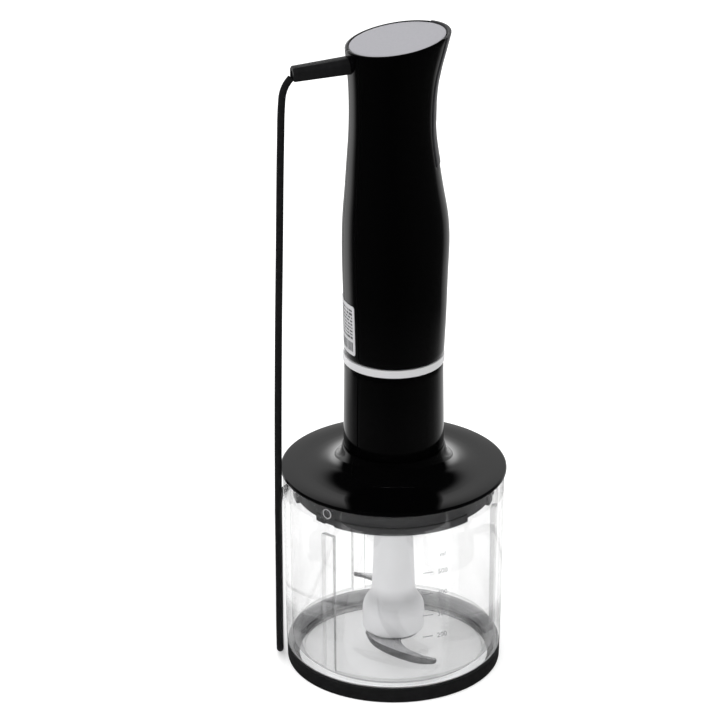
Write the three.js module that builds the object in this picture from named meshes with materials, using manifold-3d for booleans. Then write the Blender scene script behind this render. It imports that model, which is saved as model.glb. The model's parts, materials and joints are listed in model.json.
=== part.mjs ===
// A hand blender's motor unit standing on its chopper bowl: a clear bowl in a non-slip ring, a
// two-bladed rotor on a steel pin, a bayonet lid with the drive spindle, and the motor unit with
// its motor, two front buttons and mains cord. Millimetres, +Z up, the bowl's axis is the Z axis,
// the table is z = 0, the buttons face -Y and the cord leaves to +Y.

import * as THREE from 'three';
import { mergeVertices } from 'three/addons/utils/BufferGeometryUtils.js';
import Module from 'manifold-3d';

const wasm = await Module();
wasm.setup();

// ---- Driving dimensions ----

const GAP = 0.3; // between pieces that touch
const ROUND = 32; // sides of a large round piece
const SMALL = 16; // sides of a small round piece
const TURN = 2 * Math.PI;
const DEGREE = Math.PI / 180;

const BASE = { radius: 54.9, footRadius: 54.7, height: 7.6, lip: 52.6, inner: 48.6, floor: 1.6 };

const BOWL = { radius: 55.2, inner: 52.2, wallLow: 12.6, floor: 7.2, foot: BASE.floor + GAP };
const RIM = { radius: 56.4, inner: 53.4, height: 105.7 }; // the bowl widens towards it
const KEY = { first: 125.4, count: 3, width: 7, proud: 2, low: 9, high: 88.1 }; // ribs up the wall
const LUG = { radius: 2, height: 100, reach: 50.6 }; // bayonet pins inside the rim
const PIVOT = { radius: 2.3, low: 6.5, high: 32.5, boss: 6, bossTop: 11.5 };

const HUB = { low: 15.9, belly: 15.9, bore: 4.3, boreTop: 33.5, tip: 9.3, high: 93.4 };
const BLADE = { thickness: 1.5, low: 13.95, high: 26.4, upperScale: 0.95 };
const TONGUE = { length: 8, thickness: 3, low: 84.5, play: 24 }; // spindle end in the hub

const LID = { radius: 57.4, under: 106.4, top: 108, neck: 26, neckTop: 120.4, socket: 21.6 };
const SKIRT = { inner: 48.2, outer: 50.2, low: 94.3, top: 106, plateLow: 101.4, plateTop: 103.6 };
const BAYONET = { reach: 51.3, low: 92.8, high: 97, from: 115.2, span: 95.6, notch: 7 };
const SPINDLE = { radius: 4, neck: 3, shoulder: 106, top: 113.4, bush: 6 };
const DOG = { flats: 14, low: 106.6, high: 114 };

const SLEEVE = { low: 120.8, high: 166.7, bottom: 25.4, top: 25, wall: 2.4, spigot: 21.2 };
const TRIM = { low: 167, high: 171.4, radius: 25.5, inner: 22.2 };
const HANDLE = { low: 171.7, wall: 2.4, topHeight: 336.5, topAt: -0.75, topTilt: 7.6 };
const FACETS = { sides: 32, rings: 13, innerSides: 20, innerRings: 9 }; // of the handle's form
// height, reach to the back and reach to the front of the handle
const HANDLE_STATIONS = [
  [HANDLE.low, 24.7, 25.3],
  [196, 25.2, 26.4],
  [217, 25.75, 27.1],
  [234, 25.85, 27.6],
  [247, 25.35, 26.6],
  [258, 24.5, 24.7],
  [272, 23.6, 22.5],
  [288, 22.6, 20.4],
  [303, 22.35, 20.4],
  [318, 22.9, 22.1],
  [330, 24, 25.1],
  [341, 24.8, 27.9],
];
const SLIMMING = { from: 250, to: 340, share: 0.1 }; // the grip is narrower than it is deep
const CAP = { seat: 1.85, inset: 2.15, below: 0.2, thickness: 2.7, ledge: 3.2 };
const PANEL = { low: 272.5, halfAngle: 36.5, proud: 0.5, inset: 1.2 };
const BUTTONS = { power: 319, turbo: 298 };
const BUTTON = { radius: 6.9, proud: 0.6, flange: 8.3, stem: 2.5, stemEnd: -14.6, travel: 1.5 };
const BOARD = { front: -9.4, thickness: 1.6, width: 18, low: 288, high: 329 };
const SWITCH = { side: 6, depth: 3 };
const LABEL = { width: 21, low: 175, high: 201.7, thickness: 0.22 };
const SCREWS = [
  { name: 'screw_lower', y: 12, z: 262, head: 18.4 },
  { name: 'screw_upper', y: 9, z: 306, head: 16 },
];
const SCREW = { head: 3, headHeight: 1.8, shank: 1.2, tip: -9, boss: 3.8 };

const SHAFT = { radius: 3, low: 117, high: 256 };
const BEARING = { radius: 8, height: 7 };
const BRACKET = { low: 150, high: 186, radius: 21.4, plate: 3 };
const UPPER_BRACKET = { low: 247.5, radius: 21.9, plate: 3 };
const STATOR = { low: 190, high: 232, radius: 20.8, bore: 13.7 };
const ARMATURE = { low: 192, high: 230, radius: 13 };
const COMMUTATOR = { low: 234.5, high: 245, radius: 8 };
const FAN = { low: 162, high: 170, radius: 17.5, hub: 7, blades: 7 };

const CORD = { radius: 1.85, sides: 8, steps: 54 };
const GUARD = { root: 17, end: 51.3, rootZ: 322, endZ: 320.4, rootHeight: 7.9, endHeight: 6.5 };
const GUARD_HALF_WIDTH = { root: 4.35, end: 4.1 };
const MOUTH = { radius: 2.3, depth: 3, tilt: 39.6 }; // the slanting hole that the cord leaves by
const STORE_HEADING = -15; // the stored cord lies on this heading from the bowl, degrees from +X
const COIL = { away: 178.8, inner: 14.6, outer: 26.3, low: 0.75, high: 8.55 };
const TIE = { heading: -35, width: 5, clear: 0.3, thickness: 0.5 };
const PLUG = { left: -5.5, entry: 201, back: 179, front: 142, width: 35, height: 14, low: 8.9 };
const PIN = { radius: 2, length: 19, spacing: 18.6 };

// The cord's hanging stretch, as y and z in the plane x = 0.
const CORD_HANGING = [
  [51.6, 321.6],
  [53.5, 319.3],
  [55, 316.6],
  [56, 313.4],
  [56.5, 309],
  [57.2, 290],
  [58.4, 235],
  [59.7, 170],
  [60.4, 110],
  [60.5, 60],
  [60.5, 36],
];
// Its stretch on the table, as away and left of the stored cord's heading, and z.
const CORD_LYING = [
  [-15, 58.5, 23.9],
  [-12.7, 58.5, 12.9],
  [-5, 58.6, 4.9],
  [6.3, 58.9, 2.05],
  [30, 59.5, 1.95],
  [60, 60.1, 1.95],
  [100, 60.8, 1.95],
  [140, 61.6, 1.95],
  [173, 61.9, 1.95],
  [184.5, 60.2, 2],
  [194.2, 54.2, 2.1],
  [200.7, 45.2, 2.3],
  [203, 34.5, 2.5],
  [203, 22, 2.6],
  [203, 14.6, 2.6],
];
// From the coil over to the plug.
const CORD_TAIL = [
  [191, 25.4, 8.2],
  [203.5, 24.5, 10.6],
  [214.1, 20.1, 12.8],
  [218.5, 9.5, 14.6],
  [214.1, -1.1, 15.7],
  [206, -5.2, 15.9],
  [201.4, -5.5, 15.9],
];

// ---- Making and cutting solids ----

function solid(geometry) {
  const bare = geometry.clone();
  bare.deleteAttribute('normal');
  bare.deleteAttribute('uv');
  const merged = mergeVertices(bare, 1e-4);
  const corners = [];
  for (let i = 0; i < merged.index.count; i += 3) {
    const [a, b, c] = [0, 1, 2].map((k) => merged.index.getX(i + k));
    if (a !== b && b !== c && c !== a) corners.push(a, b, c);
  }
  return new wasm.Manifold(
    new wasm.Mesh({
      numProp: 3,
      vertProperties: new Float32Array(merged.attributes.position.array),
      triVerts: new Uint32Array(corners),
    }),
  );
}

function geometryOf(cutSolid) {
  const mesh = cutSolid.getMesh();
  const geometry = new THREE.BufferGeometry();
  const positions = new Float32Array(mesh.vertProperties);
  geometry.setAttribute('position', new THREE.BufferAttribute(positions, 3));
  geometry.setIndex(new THREE.BufferAttribute(new Uint32Array(mesh.triVerts), 1));
  geometry.computeVertexNormals();
  return geometry;
}

// A turned solid: the profile is radius and height, anticlockwise, on the axis or closed.
function turned(profile, sides = ROUND) {
  const closed = profile[0][0] > 0 ? [...profile, profile[0]] : profile;
  const points = closed.map(([radius, z]) => new THREE.Vector2(radius, z));
  return solid(new THREE.LatheGeometry(points, sides).rotateX(Math.PI / 2));
}

function tube(inner, outer, low, high, sides = SMALL) {
  return turned([[inner, low], [outer, low], [outer, high], [inner, high]], sides);
}

function rod(radius, low, high, sides = SMALL) {
  return turned([[0, low], [radius, low], [radius, high], [0, high]], sides);
}

function block(low, high) {
  const size = low.map((value, k) => high[k] - value);
  const middle = low.map((value, k) => (high[k] + value) / 2);
  return solid(new THREE.BoxGeometry(...size).translate(...middle));
}

// An outline in x and y, raised from one height to another.
function prism(outline, low, high) {
  const shape = outline instanceof THREE.Shape ? outline : new THREE.Shape(outline);
  const options = { depth: high - low, bevelEnabled: false, curveSegments: 8 };
  return solid(new THREE.ExtrudeGeometry(shape, options).translate(0, 0, low));
}

function reshaped(geometry, move) {
  const positions = geometry.attributes.position;
  const point = new THREE.Vector3();
  for (let i = 0; i < positions.count; i += 1) {
    point.fromBufferAttribute(positions, i);
    positions.setXYZ(i, ...move(point));
  }
  return geometry;
}

function rotated(piece, degrees) {
  return piece.rotate([0, 0, degrees]);
}

// ---- Materials and the group ----

const finish = (color, roughness, metalness = 0) =>
  new THREE.MeshStandardMaterial({ color, roughness, metalness });

const clear = finish(0xe8edf0, 0.05);
clear.transparent = true;
clear.opacity = 0.25;

const MATERIALS = {
  glossBlack: finish(0x0a0a0b, 0.12),
  satinBlack: finish(0x1c1c1e, 0.5),
  softPanel: finish(0x2a292d, 0.6),
  rubber: finish(0x0c0c0d, 0.75),
  clear,
  white: finish(0xdddddf, 0.35),
  grey: finish(0xb6b5bb, 0.45),
  silver: finish(0xbcbcc0, 0.3, 0.9),
  steel: finish(0xa9aaae, 0.25, 1),
  iron: finish(0x55565a, 0.5, 0.8),
  brass: finish(0xb08a45, 0.35, 1),
  copper: finish(0xb4683a, 0.35, 1),
  board: finish(0x2c5a3a, 0.6),
  label: finish(0xa8a8aa, 0.4),
  amber: finish(0xb98a2c, 0.5),
};

const group = new THREE.Group();
const stored = new THREE.Group(); // what lies behind the bowl: x is away from it, y is left
stored.rotation.z = STORE_HEADING * DEGREE;
group.add(stored);

function add(name, piece, material, parent = group) {
  const mesh = new THREE.Mesh(geometryOf(piece), MATERIALS[material]);
  mesh.name = name;
  parent.add(mesh);
}

// ---- Base ring and bowl ----

function baseRing() {
  const edge = 1.2;
  return turned([
    [BASE.inner, 0],
    [BASE.footRadius - edge, 0],
    [BASE.footRadius, edge],
    [BASE.radius, BASE.height - edge],
    [BASE.radius, BASE.height],
    [BASE.lip, BASE.height],
    [BASE.lip, BASE.floor],
    [BASE.inner, BASE.floor],
  ]);
}

function bowl() {
  const footOuter = BASE.lip - GAP;
  const under = 4.6;
  const bore = PIVOT.radius + GAP;
  let shell = turned([
    [0, under],
    [45.5, under],
    [46.5, BOWL.foot],
    [footOuter, BOWL.foot],
    [footOuter, BASE.height + GAP],
    [BOWL.radius, 9.4],
    [RIM.radius, RIM.height],
    [RIM.inner, RIM.height],
    [BOWL.inner, BOWL.wallLow],
    [50.6, 10],
    [48, 8.9],
    [47.6, BOWL.floor],
    [PIVOT.boss, BOWL.floor],
    [PIVOT.boss, PIVOT.bossTop],
    [bore, PIVOT.bossTop],
    [bore, PIVOT.low - GAP],
    [0, PIVOT.low - GAP],
  ]);
  const middle = (BOWL.inner + BOWL.radius) / 2;
  const rib = block(
    [BOWL.inner - KEY.proud, -KEY.width / 2, KEY.low],
    [middle, KEY.width / 2, KEY.high],
  );
  const lug = rod(LUG.radius, LUG.reach, middle, 12).rotate([0, 90, 0]).translate([0, 0, LUG.height]);
  for (let i = 0; i < KEY.count; i += 1) {
    const angle = KEY.first + (i * 360) / KEY.count;
    shell = shell.add(rotated(rib, angle)).add(rotated(lug, angle));
  }
  return shell;
}

function pivotPin() {
  const round = 1;
  return turned(
    [
      [0, PIVOT.low],
      [PIVOT.radius, PIVOT.low],
      [PIVOT.radius, PIVOT.high - round],
      [PIVOT.radius - round, PIVOT.high],
      [0, PIVOT.high],
    ],
    SMALL,
  );
}

// ---- Blade unit ----

// One swept blade, from the hub's edge round to its tip.
function bladeOutline() {
  const shape = new THREE.Shape();
  const at = (x, y) => new THREE.Vector2(x, y);
  shape.moveTo(-3, 15.2);
  shape.splineThru([at(-14.3, 15.2), at(-24.4, 11.7), at(-35.5, 4), at(-42.6, -4.7)]);
  shape.quadraticCurveTo(-44.6, -9, -43.2, -10.4);
  shape.quadraticCurveTo(-41.6, -11.6, -39.6, -10);
  shape.splineThru([at(-32, -3.1), at(-21.8, 0.8), at(-14, -0.8), at(-9, -7)]);
  shape.closePath();
  return shape;
}

function bladeSolid(margin) {
  const options = {
    depth: BLADE.thickness,
    curveSegments: 4,
    bevelEnabled: margin > 0,
    bevelSize: margin,
    bevelThickness: margin,
    bevelSegments: 1,
  };
  return solid(new THREE.ExtrudeGeometry(bladeOutline(), options));
}

function lowerBlade() {
  const root = rod(13.5, 0, BLADE.thickness, 32);
  const hole = rod(HUB.bore + GAP, -1, BLADE.thickness + 1);
  return bladeSolid(0).add(root).subtract(hole).translate([0, 0, BLADE.low]);
}

function upperBladePlace(piece, rootRadius) {
  const core = rod(rootRadius, -5, 5, 32);
  const outside = piece.scale([BLADE.upperScale, BLADE.upperScale, 1]).subtract(core);
  return rotated(outside, 180).translate([0, 0, BLADE.high]);
}

function bladeHub() {
  const body = turned(
    [
      [0, HUB.boreTop],
      [HUB.bore, HUB.boreTop],
      [HUB.bore, HUB.low],
      [14.8, HUB.low],
      [HUB.belly, 17.2],
      [HUB.belly, 27.6],
      [14.9, 31.4],
      [12.7, 34.4],
      [11.4, 37.8],
      [10.9, 45],
      [10.3, 60],
      [HUB.tip, 88],
      [HUB.tip, HUB.high],
      [0, HUB.high],
    ],
    20,
  );
  const slot = block(
    [-TONGUE.length / 2 - GAP, -TONGUE.thickness / 2 - GAP, TONGUE.low - GAP],
    [TONGUE.length / 2 + GAP, TONGUE.thickness / 2 + GAP, HUB.high + 1],
  );
  let hub = body.subtract(upperBladePlace(bladeSolid(GAP), 9 - GAP));
  for (const share of [0, 0.33, 0.67, 1]) {
    hub = hub.subtract(rotated(slot, -share * TONGUE.play));
  }
  return hub;
}

// ---- Lid and its drive spindle ----

function lidCover() {
  const tubeOuter = 23.2;
  const tubeLow = SKIRT.plateTop + 0.6;
  return turned([
    [LID.socket, tubeLow],
    [tubeOuter, tubeLow],
    [tubeOuter, 116.4],
    [24.2, 113],
    [26.8, 109],
    [31, 107],
    [36, LID.under],
    [LID.radius, LID.under],
    [LID.radius, LID.top - 0.6],
    [LID.radius - 0.6, LID.top],
    [43, LID.top],
    [35.5, 108.9],
    [30.6, 110.9],
    [27.7, 114.6],
    [LID.neck, LID.neckTop - 0.5],
    [LID.neck - 0.5, LID.neckTop],
    [LID.socket, LID.neckTop],
  ]);
}

function lidBasePlate() {
  const bore = SPINDLE.bush + GAP;
  const boss = 9.5;
  let plate = turned([
    [bore, 95.9],
    [boss, 95.9],
    [boss, SKIRT.plateLow],
    [SKIRT.inner, SKIRT.plateLow],
    [SKIRT.inner, SKIRT.low],
    [SKIRT.outer, SKIRT.low],
    [SKIRT.outer, SKIRT.top],
    [SKIRT.inner, SKIRT.top],
    [SKIRT.inner, SKIRT.plateTop],
    [bore, SKIRT.plateTop],
  ]);
  const from = BAYONET.from * DEGREE;
  const to = (BAYONET.from + BAYONET.span) * DEGREE;
  const arc = new THREE.Shape();
  arc.absarc(0, 0, BAYONET.reach, from, to, false);
  arc.absarc(0, 0, SKIRT.inner + 0.2, to, from, true);
  arc.closePath();
  const flange = prism(arc, BAYONET.low, BAYONET.high);
  const half = BAYONET.reach * Math.sin((BAYONET.notch / 2) * DEGREE);
  const notch = block([SKIRT.outer, -half, BAYONET.low - 1], [LID.radius, half, BAYONET.high + 1]);
  for (let i = 0; i < KEY.count; i += 1) {
    const step = (i * 360) / KEY.count;
    plate = plate.add(rotated(flange, step).subtract(rotated(notch, KEY.first + step)));
  }
  return plate;
}

function spindle() {
  const shaft = turned(
    [
      [0, 93.6],
      [SPINDLE.radius, 93.6],
      [SPINDLE.radius, SPINDLE.shoulder],
      [SPINDLE.neck, SPINDLE.shoulder],
      [SPINDLE.neck, SPINDLE.top],
      [0, SPINDLE.top],
    ],
    SMALL,
  );
  const tongue = block(
    [-TONGUE.length / 2, -TONGUE.thickness / 2, TONGUE.low],
    [TONGUE.length / 2, TONGUE.thickness / 2, 94],
  );
  return shaft.add(tongue);
}

function hexagon(flats, low, high) {
  const corner = flats / 2 / Math.cos(Math.PI / 6);
  return rod(corner, low, high, 6);
}

// ---- Motor unit's handle ----

const handleCurve = new THREE.CatmullRomCurve3(
  HANDLE_STATIONS.map(([z, back, front]) => new THREE.Vector3(back, front, z)),
);

function handleRings(count) {
  return handleCurve.getPoints(count).map(({ x: back, y: front, z }) => {
    const depth = (back + front) / 2;
    const slim = THREE.MathUtils.smoothstep(z, SLIMMING.from, SLIMMING.to) * SLIMMING.share;
    return { z, depth, middle: (back - front) / 2, side: depth * (1 - slim) };
  });
}

// The handle's whole outer form, drawn in by inset, and running on past both ends by overrun.
function handleForm(inset, overrun = 0, sides = FACETS.sides, count = FACETS.rings) {
  const rings = handleRings(count);
  if (overrun > 0) {
    rings.unshift({ ...rings[0], z: rings[0].z - overrun });
    rings.push({ ...rings.at(-1), z: rings.at(-1).z + overrun });
  }
  const profile = [[0, rings[0].z], ...rings.map(({ z }) => [1, z]), [0, rings.at(-1).z]];
  const points = profile.map(([radius, z]) => new THREE.Vector2(radius, z));
  const geometry = new THREE.LatheGeometry(points, sides).rotateX(Math.PI / 2);
  reshaped(geometry, ({ x, y, z }) => {
    const { depth, middle, side } = rings.find((ring) => Math.abs(ring.z - z) < 0.01);
    return [x * (side - inset), middle + y * (depth - inset), z];
  });
  return solid(geometry);
}

// The same form with fewer facets, for the inside.
function innerForm(inset, overrun = 0) {
  return handleForm(inset, overrun, FACETS.innerSides, FACETS.innerRings);
}

// Everything above the tilted top plane, moved up by lift.
function aboveTop(lift) {
  const slab = new THREE.BoxGeometry(140, 140, 60).translate(0, 0, 30);
  slab.rotateX(-HANDLE.topTilt * DEGREE).translate(0, HANDLE.topAt, HANDLE.topHeight + lift);
  return solid(slab);
}

// The wedge of the handle's front that the panel fills, with a margin round it.
function frontWedge(margin) {
  const reach = 60;
  const half = reach * Math.tan(PANEL.halfAngle * DEGREE);
  const shift = margin / Math.sin(PANEL.halfAngle * DEGREE);
  const outline = [[0, shift], [-half, shift - reach], [half, shift - reach]];
  const corners = outline.map(([x, y]) => new THREE.Vector2(x, y));
  return prism(corners, PANEL.low - margin, HANDLE_STATIONS.at(-1)[0] + 1);
}

// A rod along Y through a button's place.
function buttonRod(radius, from, to, height) {
  return rod(radius, -to, -from, SMALL).rotate([90, 0, 0]).translate([0, 0, height]);
}

function guardSolid(margin, root, end) {
  const span = GUARD.end - GUARD.root;
  const outline = [
    [-1, 0.08],
    [-0.9, 0],
    [0.9, 0],
    [1, 0.08],
    [1, 0.72],
    [0.55, 1],
    [-0.55, 1],
    [-1, 0.72],
  ].map(([x, y]) => new THREE.Vector2(x, y));
  const options = { depth: 1, bevelEnabled: false };
  const geometry = new THREE.ExtrudeGeometry(new THREE.Shape(outline), options);
  reshaped(geometry, ({ x, y, z }) => {
    const along = THREE.MathUtils.lerp(root, end, z);
    const share = (along - GUARD.root) / span;
    const width = THREE.MathUtils.lerp(GUARD_HALF_WIDTH.root, GUARD_HALF_WIDTH.end, share);
    const height = THREE.MathUtils.lerp(GUARD.rootHeight, GUARD.endHeight, share);
    const low = THREE.MathUtils.lerp(GUARD.rootZ, GUARD.endZ, share);
    return [-x * (width + margin), along, low - margin + y * (height + 2 * margin)];
  });
  return solid(geometry);
}

function cordGuard() {
  const flange = block([-5.4, GUARD.root, 320.5], [5.4, GUARD.root + 2, 329.6]);
  const [y, z] = CORD_HANGING[0];
  const mouth = rod(MOUTH.radius, -8, MOUTH.depth, 12).rotate([MOUTH.tilt, 0, 0]);
  return guardSolid(0, GUARD.root, GUARD.end).add(flange).subtract(mouth.translate([0, y, z]));
}

function housing() {
  const outer = handleForm(0);
  let shell = outer.subtract(innerForm(HANDLE.wall, 5)).subtract(aboveTop(0));
  for (const { y, z } of SCREWS) {
    const boss = rod(SCREW.boss, -30, 30, 16).rotate([0, 90, 0]).translate([0, y, z]);
    shell = shell.add(boss.intersect(innerForm(0.8)));
  }
  for (const { y, z, head } of SCREWS) {
    const hole = rod(SCREW.shank + GAP, SCREW.tip - 1, 30, 12);
    const well = rod(SCREW.head + GAP, head - SCREW.headHeight - GAP, 30, 16);
    shell = shell.subtract(hole.add(well).rotate([0, 90, 0]).translate([0, y, z]));
  }
  shell = shell.subtract(handleForm(CAP.seat, 5).intersect(aboveTop(-CAP.ledge)));
  const frontSkin = handleForm(-3, 5).subtract(handleForm(PANEL.inset + GAP, 8));
  shell = shell.subtract(frontSkin.intersect(frontWedge(GAP)));
  for (const height of Object.values(BUTTONS)) {
    shell = shell.subtract(buttonRod(BUTTON.radius + GAP, -40, -10, height));
  }
  return shell.subtract(guardSolid(GAP, GUARD.root, 30));
}

function frontPanel() {
  const skin = handleForm(-PANEL.proud).subtract(handleForm(PANEL.inset, 5));
  let panel = skin.intersect(frontWedge(0)).subtract(aboveTop(0));
  for (const height of Object.values(BUTTONS)) {
    panel = panel.subtract(buttonRod(BUTTON.radius + GAP, -40, -10, height));
  }
  return panel;
}

function button(height) {
  const cap = buttonRod(BUTTON.radius, -40, -14, height).intersect(handleForm(-BUTTON.proud));
  const hollow = innerForm(HANDLE.wall + 1.6);
  const flange = buttonRod(BUTTON.flange, -40, -10, height)
    .intersect(innerForm(HANDLE.wall + 0.5))
    .subtract(hollow);
  const stem = buttonRod(BUTTON.stem, -19, BUTTON.stemEnd, height);
  return cap.subtract(hollow).add(flange).add(stem);
}

function topCap() {
  const under = aboveTop(-CAP.below - CAP.thickness);
  return handleForm(CAP.inset).intersect(under).subtract(aboveTop(-CAP.below));
}

function ratingLabel() {
  const skin = handleForm(-GAP - LABEL.thickness).subtract(handleForm(-GAP, 5));
  const patch = block([-LABEL.width / 2, 10, LABEL.low], [LABEL.width / 2, 40, LABEL.high]);
  return skin.intersect(patch);
}

function couplingSleeve() {
  const inner = SLEEVE.top - SLEEVE.wall;
  const plateLow = 123.8;
  const plateHole = 9;
  const spigotInner = SLEEVE.spigot - 2.2;
  return turned([
    [spigotInner, 107],
    [SLEEVE.spigot, 107],
    [SLEEVE.spigot, SLEEVE.low],
    [SLEEVE.bottom, SLEEVE.low],
    [SLEEVE.bottom, 134],
    [SLEEVE.top, 160],
    [SLEEVE.top, SLEEVE.high],
    [inner, SLEEVE.high],
    [inner, 126.4],
    [plateHole, 126.4],
    [plateHole, plateLow],
    [spigotInner, plateLow],
  ]);
}

// ---- Motor ----

function lowerBracket() {
  const seat = BEARING.radius + GAP;
  const top = BRACKET.low + BRACKET.plate;
  return turned(
    [
      [seat, BRACKET.low],
      [BRACKET.radius, BRACKET.low],
      [BRACKET.radius, BRACKET.high],
      [BRACKET.radius - 2, BRACKET.high],
      [BRACKET.radius - 2, top],
      [seat + 2, top],
      [seat + 2, BRACKET.low + BEARING.height + 1],
      [seat, BRACKET.low + BEARING.height + 1],
    ],
    20,
  );
}

function upperBracket() {
  const seat = BEARING.radius + GAP;
  const top = UPPER_BRACKET.low + UPPER_BRACKET.plate;
  return turned(
    [
      [seat, UPPER_BRACKET.low],
      [UPPER_BRACKET.radius, UPPER_BRACKET.low],
      [UPPER_BRACKET.radius, top],
      [seat + 2, top],
      [seat + 2, UPPER_BRACKET.low + BEARING.height + 1],
      [seat, UPPER_BRACKET.low + BEARING.height + 1],
    ],
    20,
  );
}

function fan() {
  const bore = SHAFT.radius + GAP;
  let wheel = tube(bore, FAN.radius, FAN.low, FAN.low + 1.2).add(
    tube(bore, FAN.hub, FAN.low, FAN.high),
  );
  const vane = block([FAN.hub - 0.5, -0.6, FAN.low + 0.6], [FAN.radius - 0.3, 0.6, FAN.high]);
  for (let i = 0; i < FAN.blades; i += 1) {
    wheel = wheel.add(rotated(vane, (i * 360) / FAN.blades));
  }
  return wheel;
}

function driveCoupling() {
  const cup = turned([
    [SHAFT.radius + GAP, 118],
    [SHAFT.radius + GAP, 117.4],
    [8.6, 117.4],
    [8.6, 108.4],
    [11, 108.4],
    [11, 122],
    [6.5, 122],
    [6.5, 127],
    [SHAFT.radius + GAP, 127],
  ]);
  const socket = rod(9, 108.4, 117.6).subtract(hexagon(DOG.flats + 2 * GAP, 108, 115.5));
  return cup.add(socket.subtract(rod(SHAFT.radius + GAP, 116, 118)));
}

function stator() {
  const core = tube(STATOR.bore, STATOR.radius, STATOR.low, STATOR.high, 20);
  const flat = block([-30, STATOR.radius - 1.6, STATOR.low - 1], [30, 40, STATOR.high + 1]);
  return core.subtract(flat).subtract(rotated(flat, 180));
}

// ---- Cord ----

function storedPoint(away, left, z) {
  const heading = STORE_HEADING * DEGREE;
  return new THREE.Vector3(
    away * Math.cos(heading) - left * Math.sin(heading),
    away * Math.sin(heading) + left * Math.cos(heading),
    z,
  );
}

function cordTube(points, steps) {
  const section = new THREE.Shape();
  for (let i = 0; i < CORD.sides; i += 1) {
    const angle = (i * TURN) / CORD.sides;
    const corner = [CORD.radius * Math.cos(angle), CORD.radius * Math.sin(angle)];
    if (i === 0) section.moveTo(...corner);
    else section.lineTo(...corner);
  }
  section.closePath();
  const route = new THREE.CatmullRomCurve3(points);
  return solid(new THREE.ExtrudeGeometry(section, { steps, extrudePath: route }));
}

function coilRing() {
  const { inner, outer, low, high } = COIL;
  const edge = 1.6;
  return turned(
    [
      [inner + edge, low],
      [outer - edge, low],
      [outer, low + edge],
      [outer, high - edge],
      [outer - edge, high],
      [inner + edge, high],
      [inner, high - edge],
      [inner, low + edge],
    ],
    24,
  ).translate([COIL.away, 0, 0]);
}

// A strap round the bundle of turns.
function cordTie() {
  const { clear: space, thickness, width } = TIE;
  const hole = block(
    [COIL.inner - space, -width, COIL.low - space],
    [COIL.outer + space, width, COIL.high + space],
  );
  const strap = block(
    [COIL.inner - space - thickness, -width / 2, 0],
    [COIL.outer + space + thickness, width / 2, COIL.high + space + thickness],
  );
  return rotated(strap.subtract(hole), TIE.heading).translate([COIL.away, 0, 0]);
}

// The plug's flat body with its tapered strain relief, lying on the coil, pins towards the bowl.
function plugBody() {
  const half = PLUG.width / 2;
  const corner = 6;
  const nose = 3;
  const outline = [
    [PLUG.front, -half + nose],
    [PLUG.front + nose, -half],
    [PLUG.back - corner, -half],
    [PLUG.back, -half + 2 * corner],
    [PLUG.back, half - 2 * corner],
    [PLUG.back - corner, half],
    [PLUG.front + nose, half],
    [PLUG.front, half - nose],
  ].map(([x, y]) => new THREE.Vector2(x, y));
  const body = prism(outline, PLUG.low, PLUG.low + PLUG.height);
  const length = PLUG.entry - PLUG.back;
  const relief = turned([[0, -2], [4.6, -2], [2.9, length], [0, length]], 12)
    .rotate([0, 90, 0])
    .translate([PLUG.back, 0, PLUG.low + PLUG.height / 2]);
  return body.add(relief).translate([0, PLUG.left, 0]);
}

function plugPin(side) {
  const pin = rod(PIN.radius, 0, PIN.length, 12).rotate([0, -90, 0]);
  const left = PLUG.left + (side * PIN.spacing) / 2;
  return pin.translate([PLUG.front - GAP, left, PLUG.low + PLUG.height / 2]);
}

// ---- The parts ----

add('base_ring', baseRing(), 'rubber');
add('bowl', bowl(), 'clear');
add('pivot_pin', pivotPin(), 'steel');

add('blade_hub', bladeHub(), 'white');
add('lower_blade', lowerBlade(), 'steel');
add('upper_blade', upperBladePlace(bladeSolid(0), 9), 'steel');
add('blade_retainer', tube(HUB.bore + GAP, 10, 12.2, BLADE.low - GAP), 'white');
add('hub_bush', tube(PIVOT.radius + GAP, HUB.bore - GAP, 14.2, HUB.boreTop - GAP), 'brass');

add('lid_seal', tube(SKIRT.outer + GAP, RIM.inner - 0.4, 103.2, 105.9, ROUND), 'rubber');
add('lid_cover', lidCover(), 'glossBlack');
add('lid_base_plate', lidBasePlate(), 'satinBlack');
add('lid_bush', tube(SPINDLE.radius + GAP, SPINDLE.bush, 96.2, 103.7), 'brass');
add('shaft_seal', tube(SPINDLE.radius + 0.4, 8.5, 104.1, 105.8), 'rubber');
add('spindle', spindle(), 'steel');
add('spindle_clip', tube(SPINDLE.radius + GAP, 7, 94.4, 95.4), 'steel');
add(
  'spindle_dog',
  hexagon(DOG.flats, DOG.low, DOG.high).subtract(rod(SPINDLE.neck + GAP, 100, 120)),
  'white',
);

const shell = housing();
const split = GAP / 2;
add('housing_left', shell.subtract(block([-split, -60, 0], [60, 60, 400])), 'glossBlack');
add('housing_right', shell.subtract(block([-60, -60, 0], [split, 60, 400])), 'glossBlack');
add('coupling_sleeve', couplingSleeve(), 'glossBlack');
add('trim_ring', tube(TRIM.inner, TRIM.radius, TRIM.low, TRIM.high, ROUND), 'silver');
add('front_panel', frontPanel(), 'softPanel');
add('top_cap', topCap(), 'grey');
add('rating_label', ratingLabel(), 'label');
for (const { name, y, z, head } of SCREWS) {
  const screw = rod(SCREW.shank, SCREW.tip, head - 1, 10).add(
    rod(SCREW.head, head - SCREW.headHeight, head, 14),
  );
  add(name, screw.rotate([0, 90, 0]).translate([0, y, z]), 'steel');
}

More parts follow.
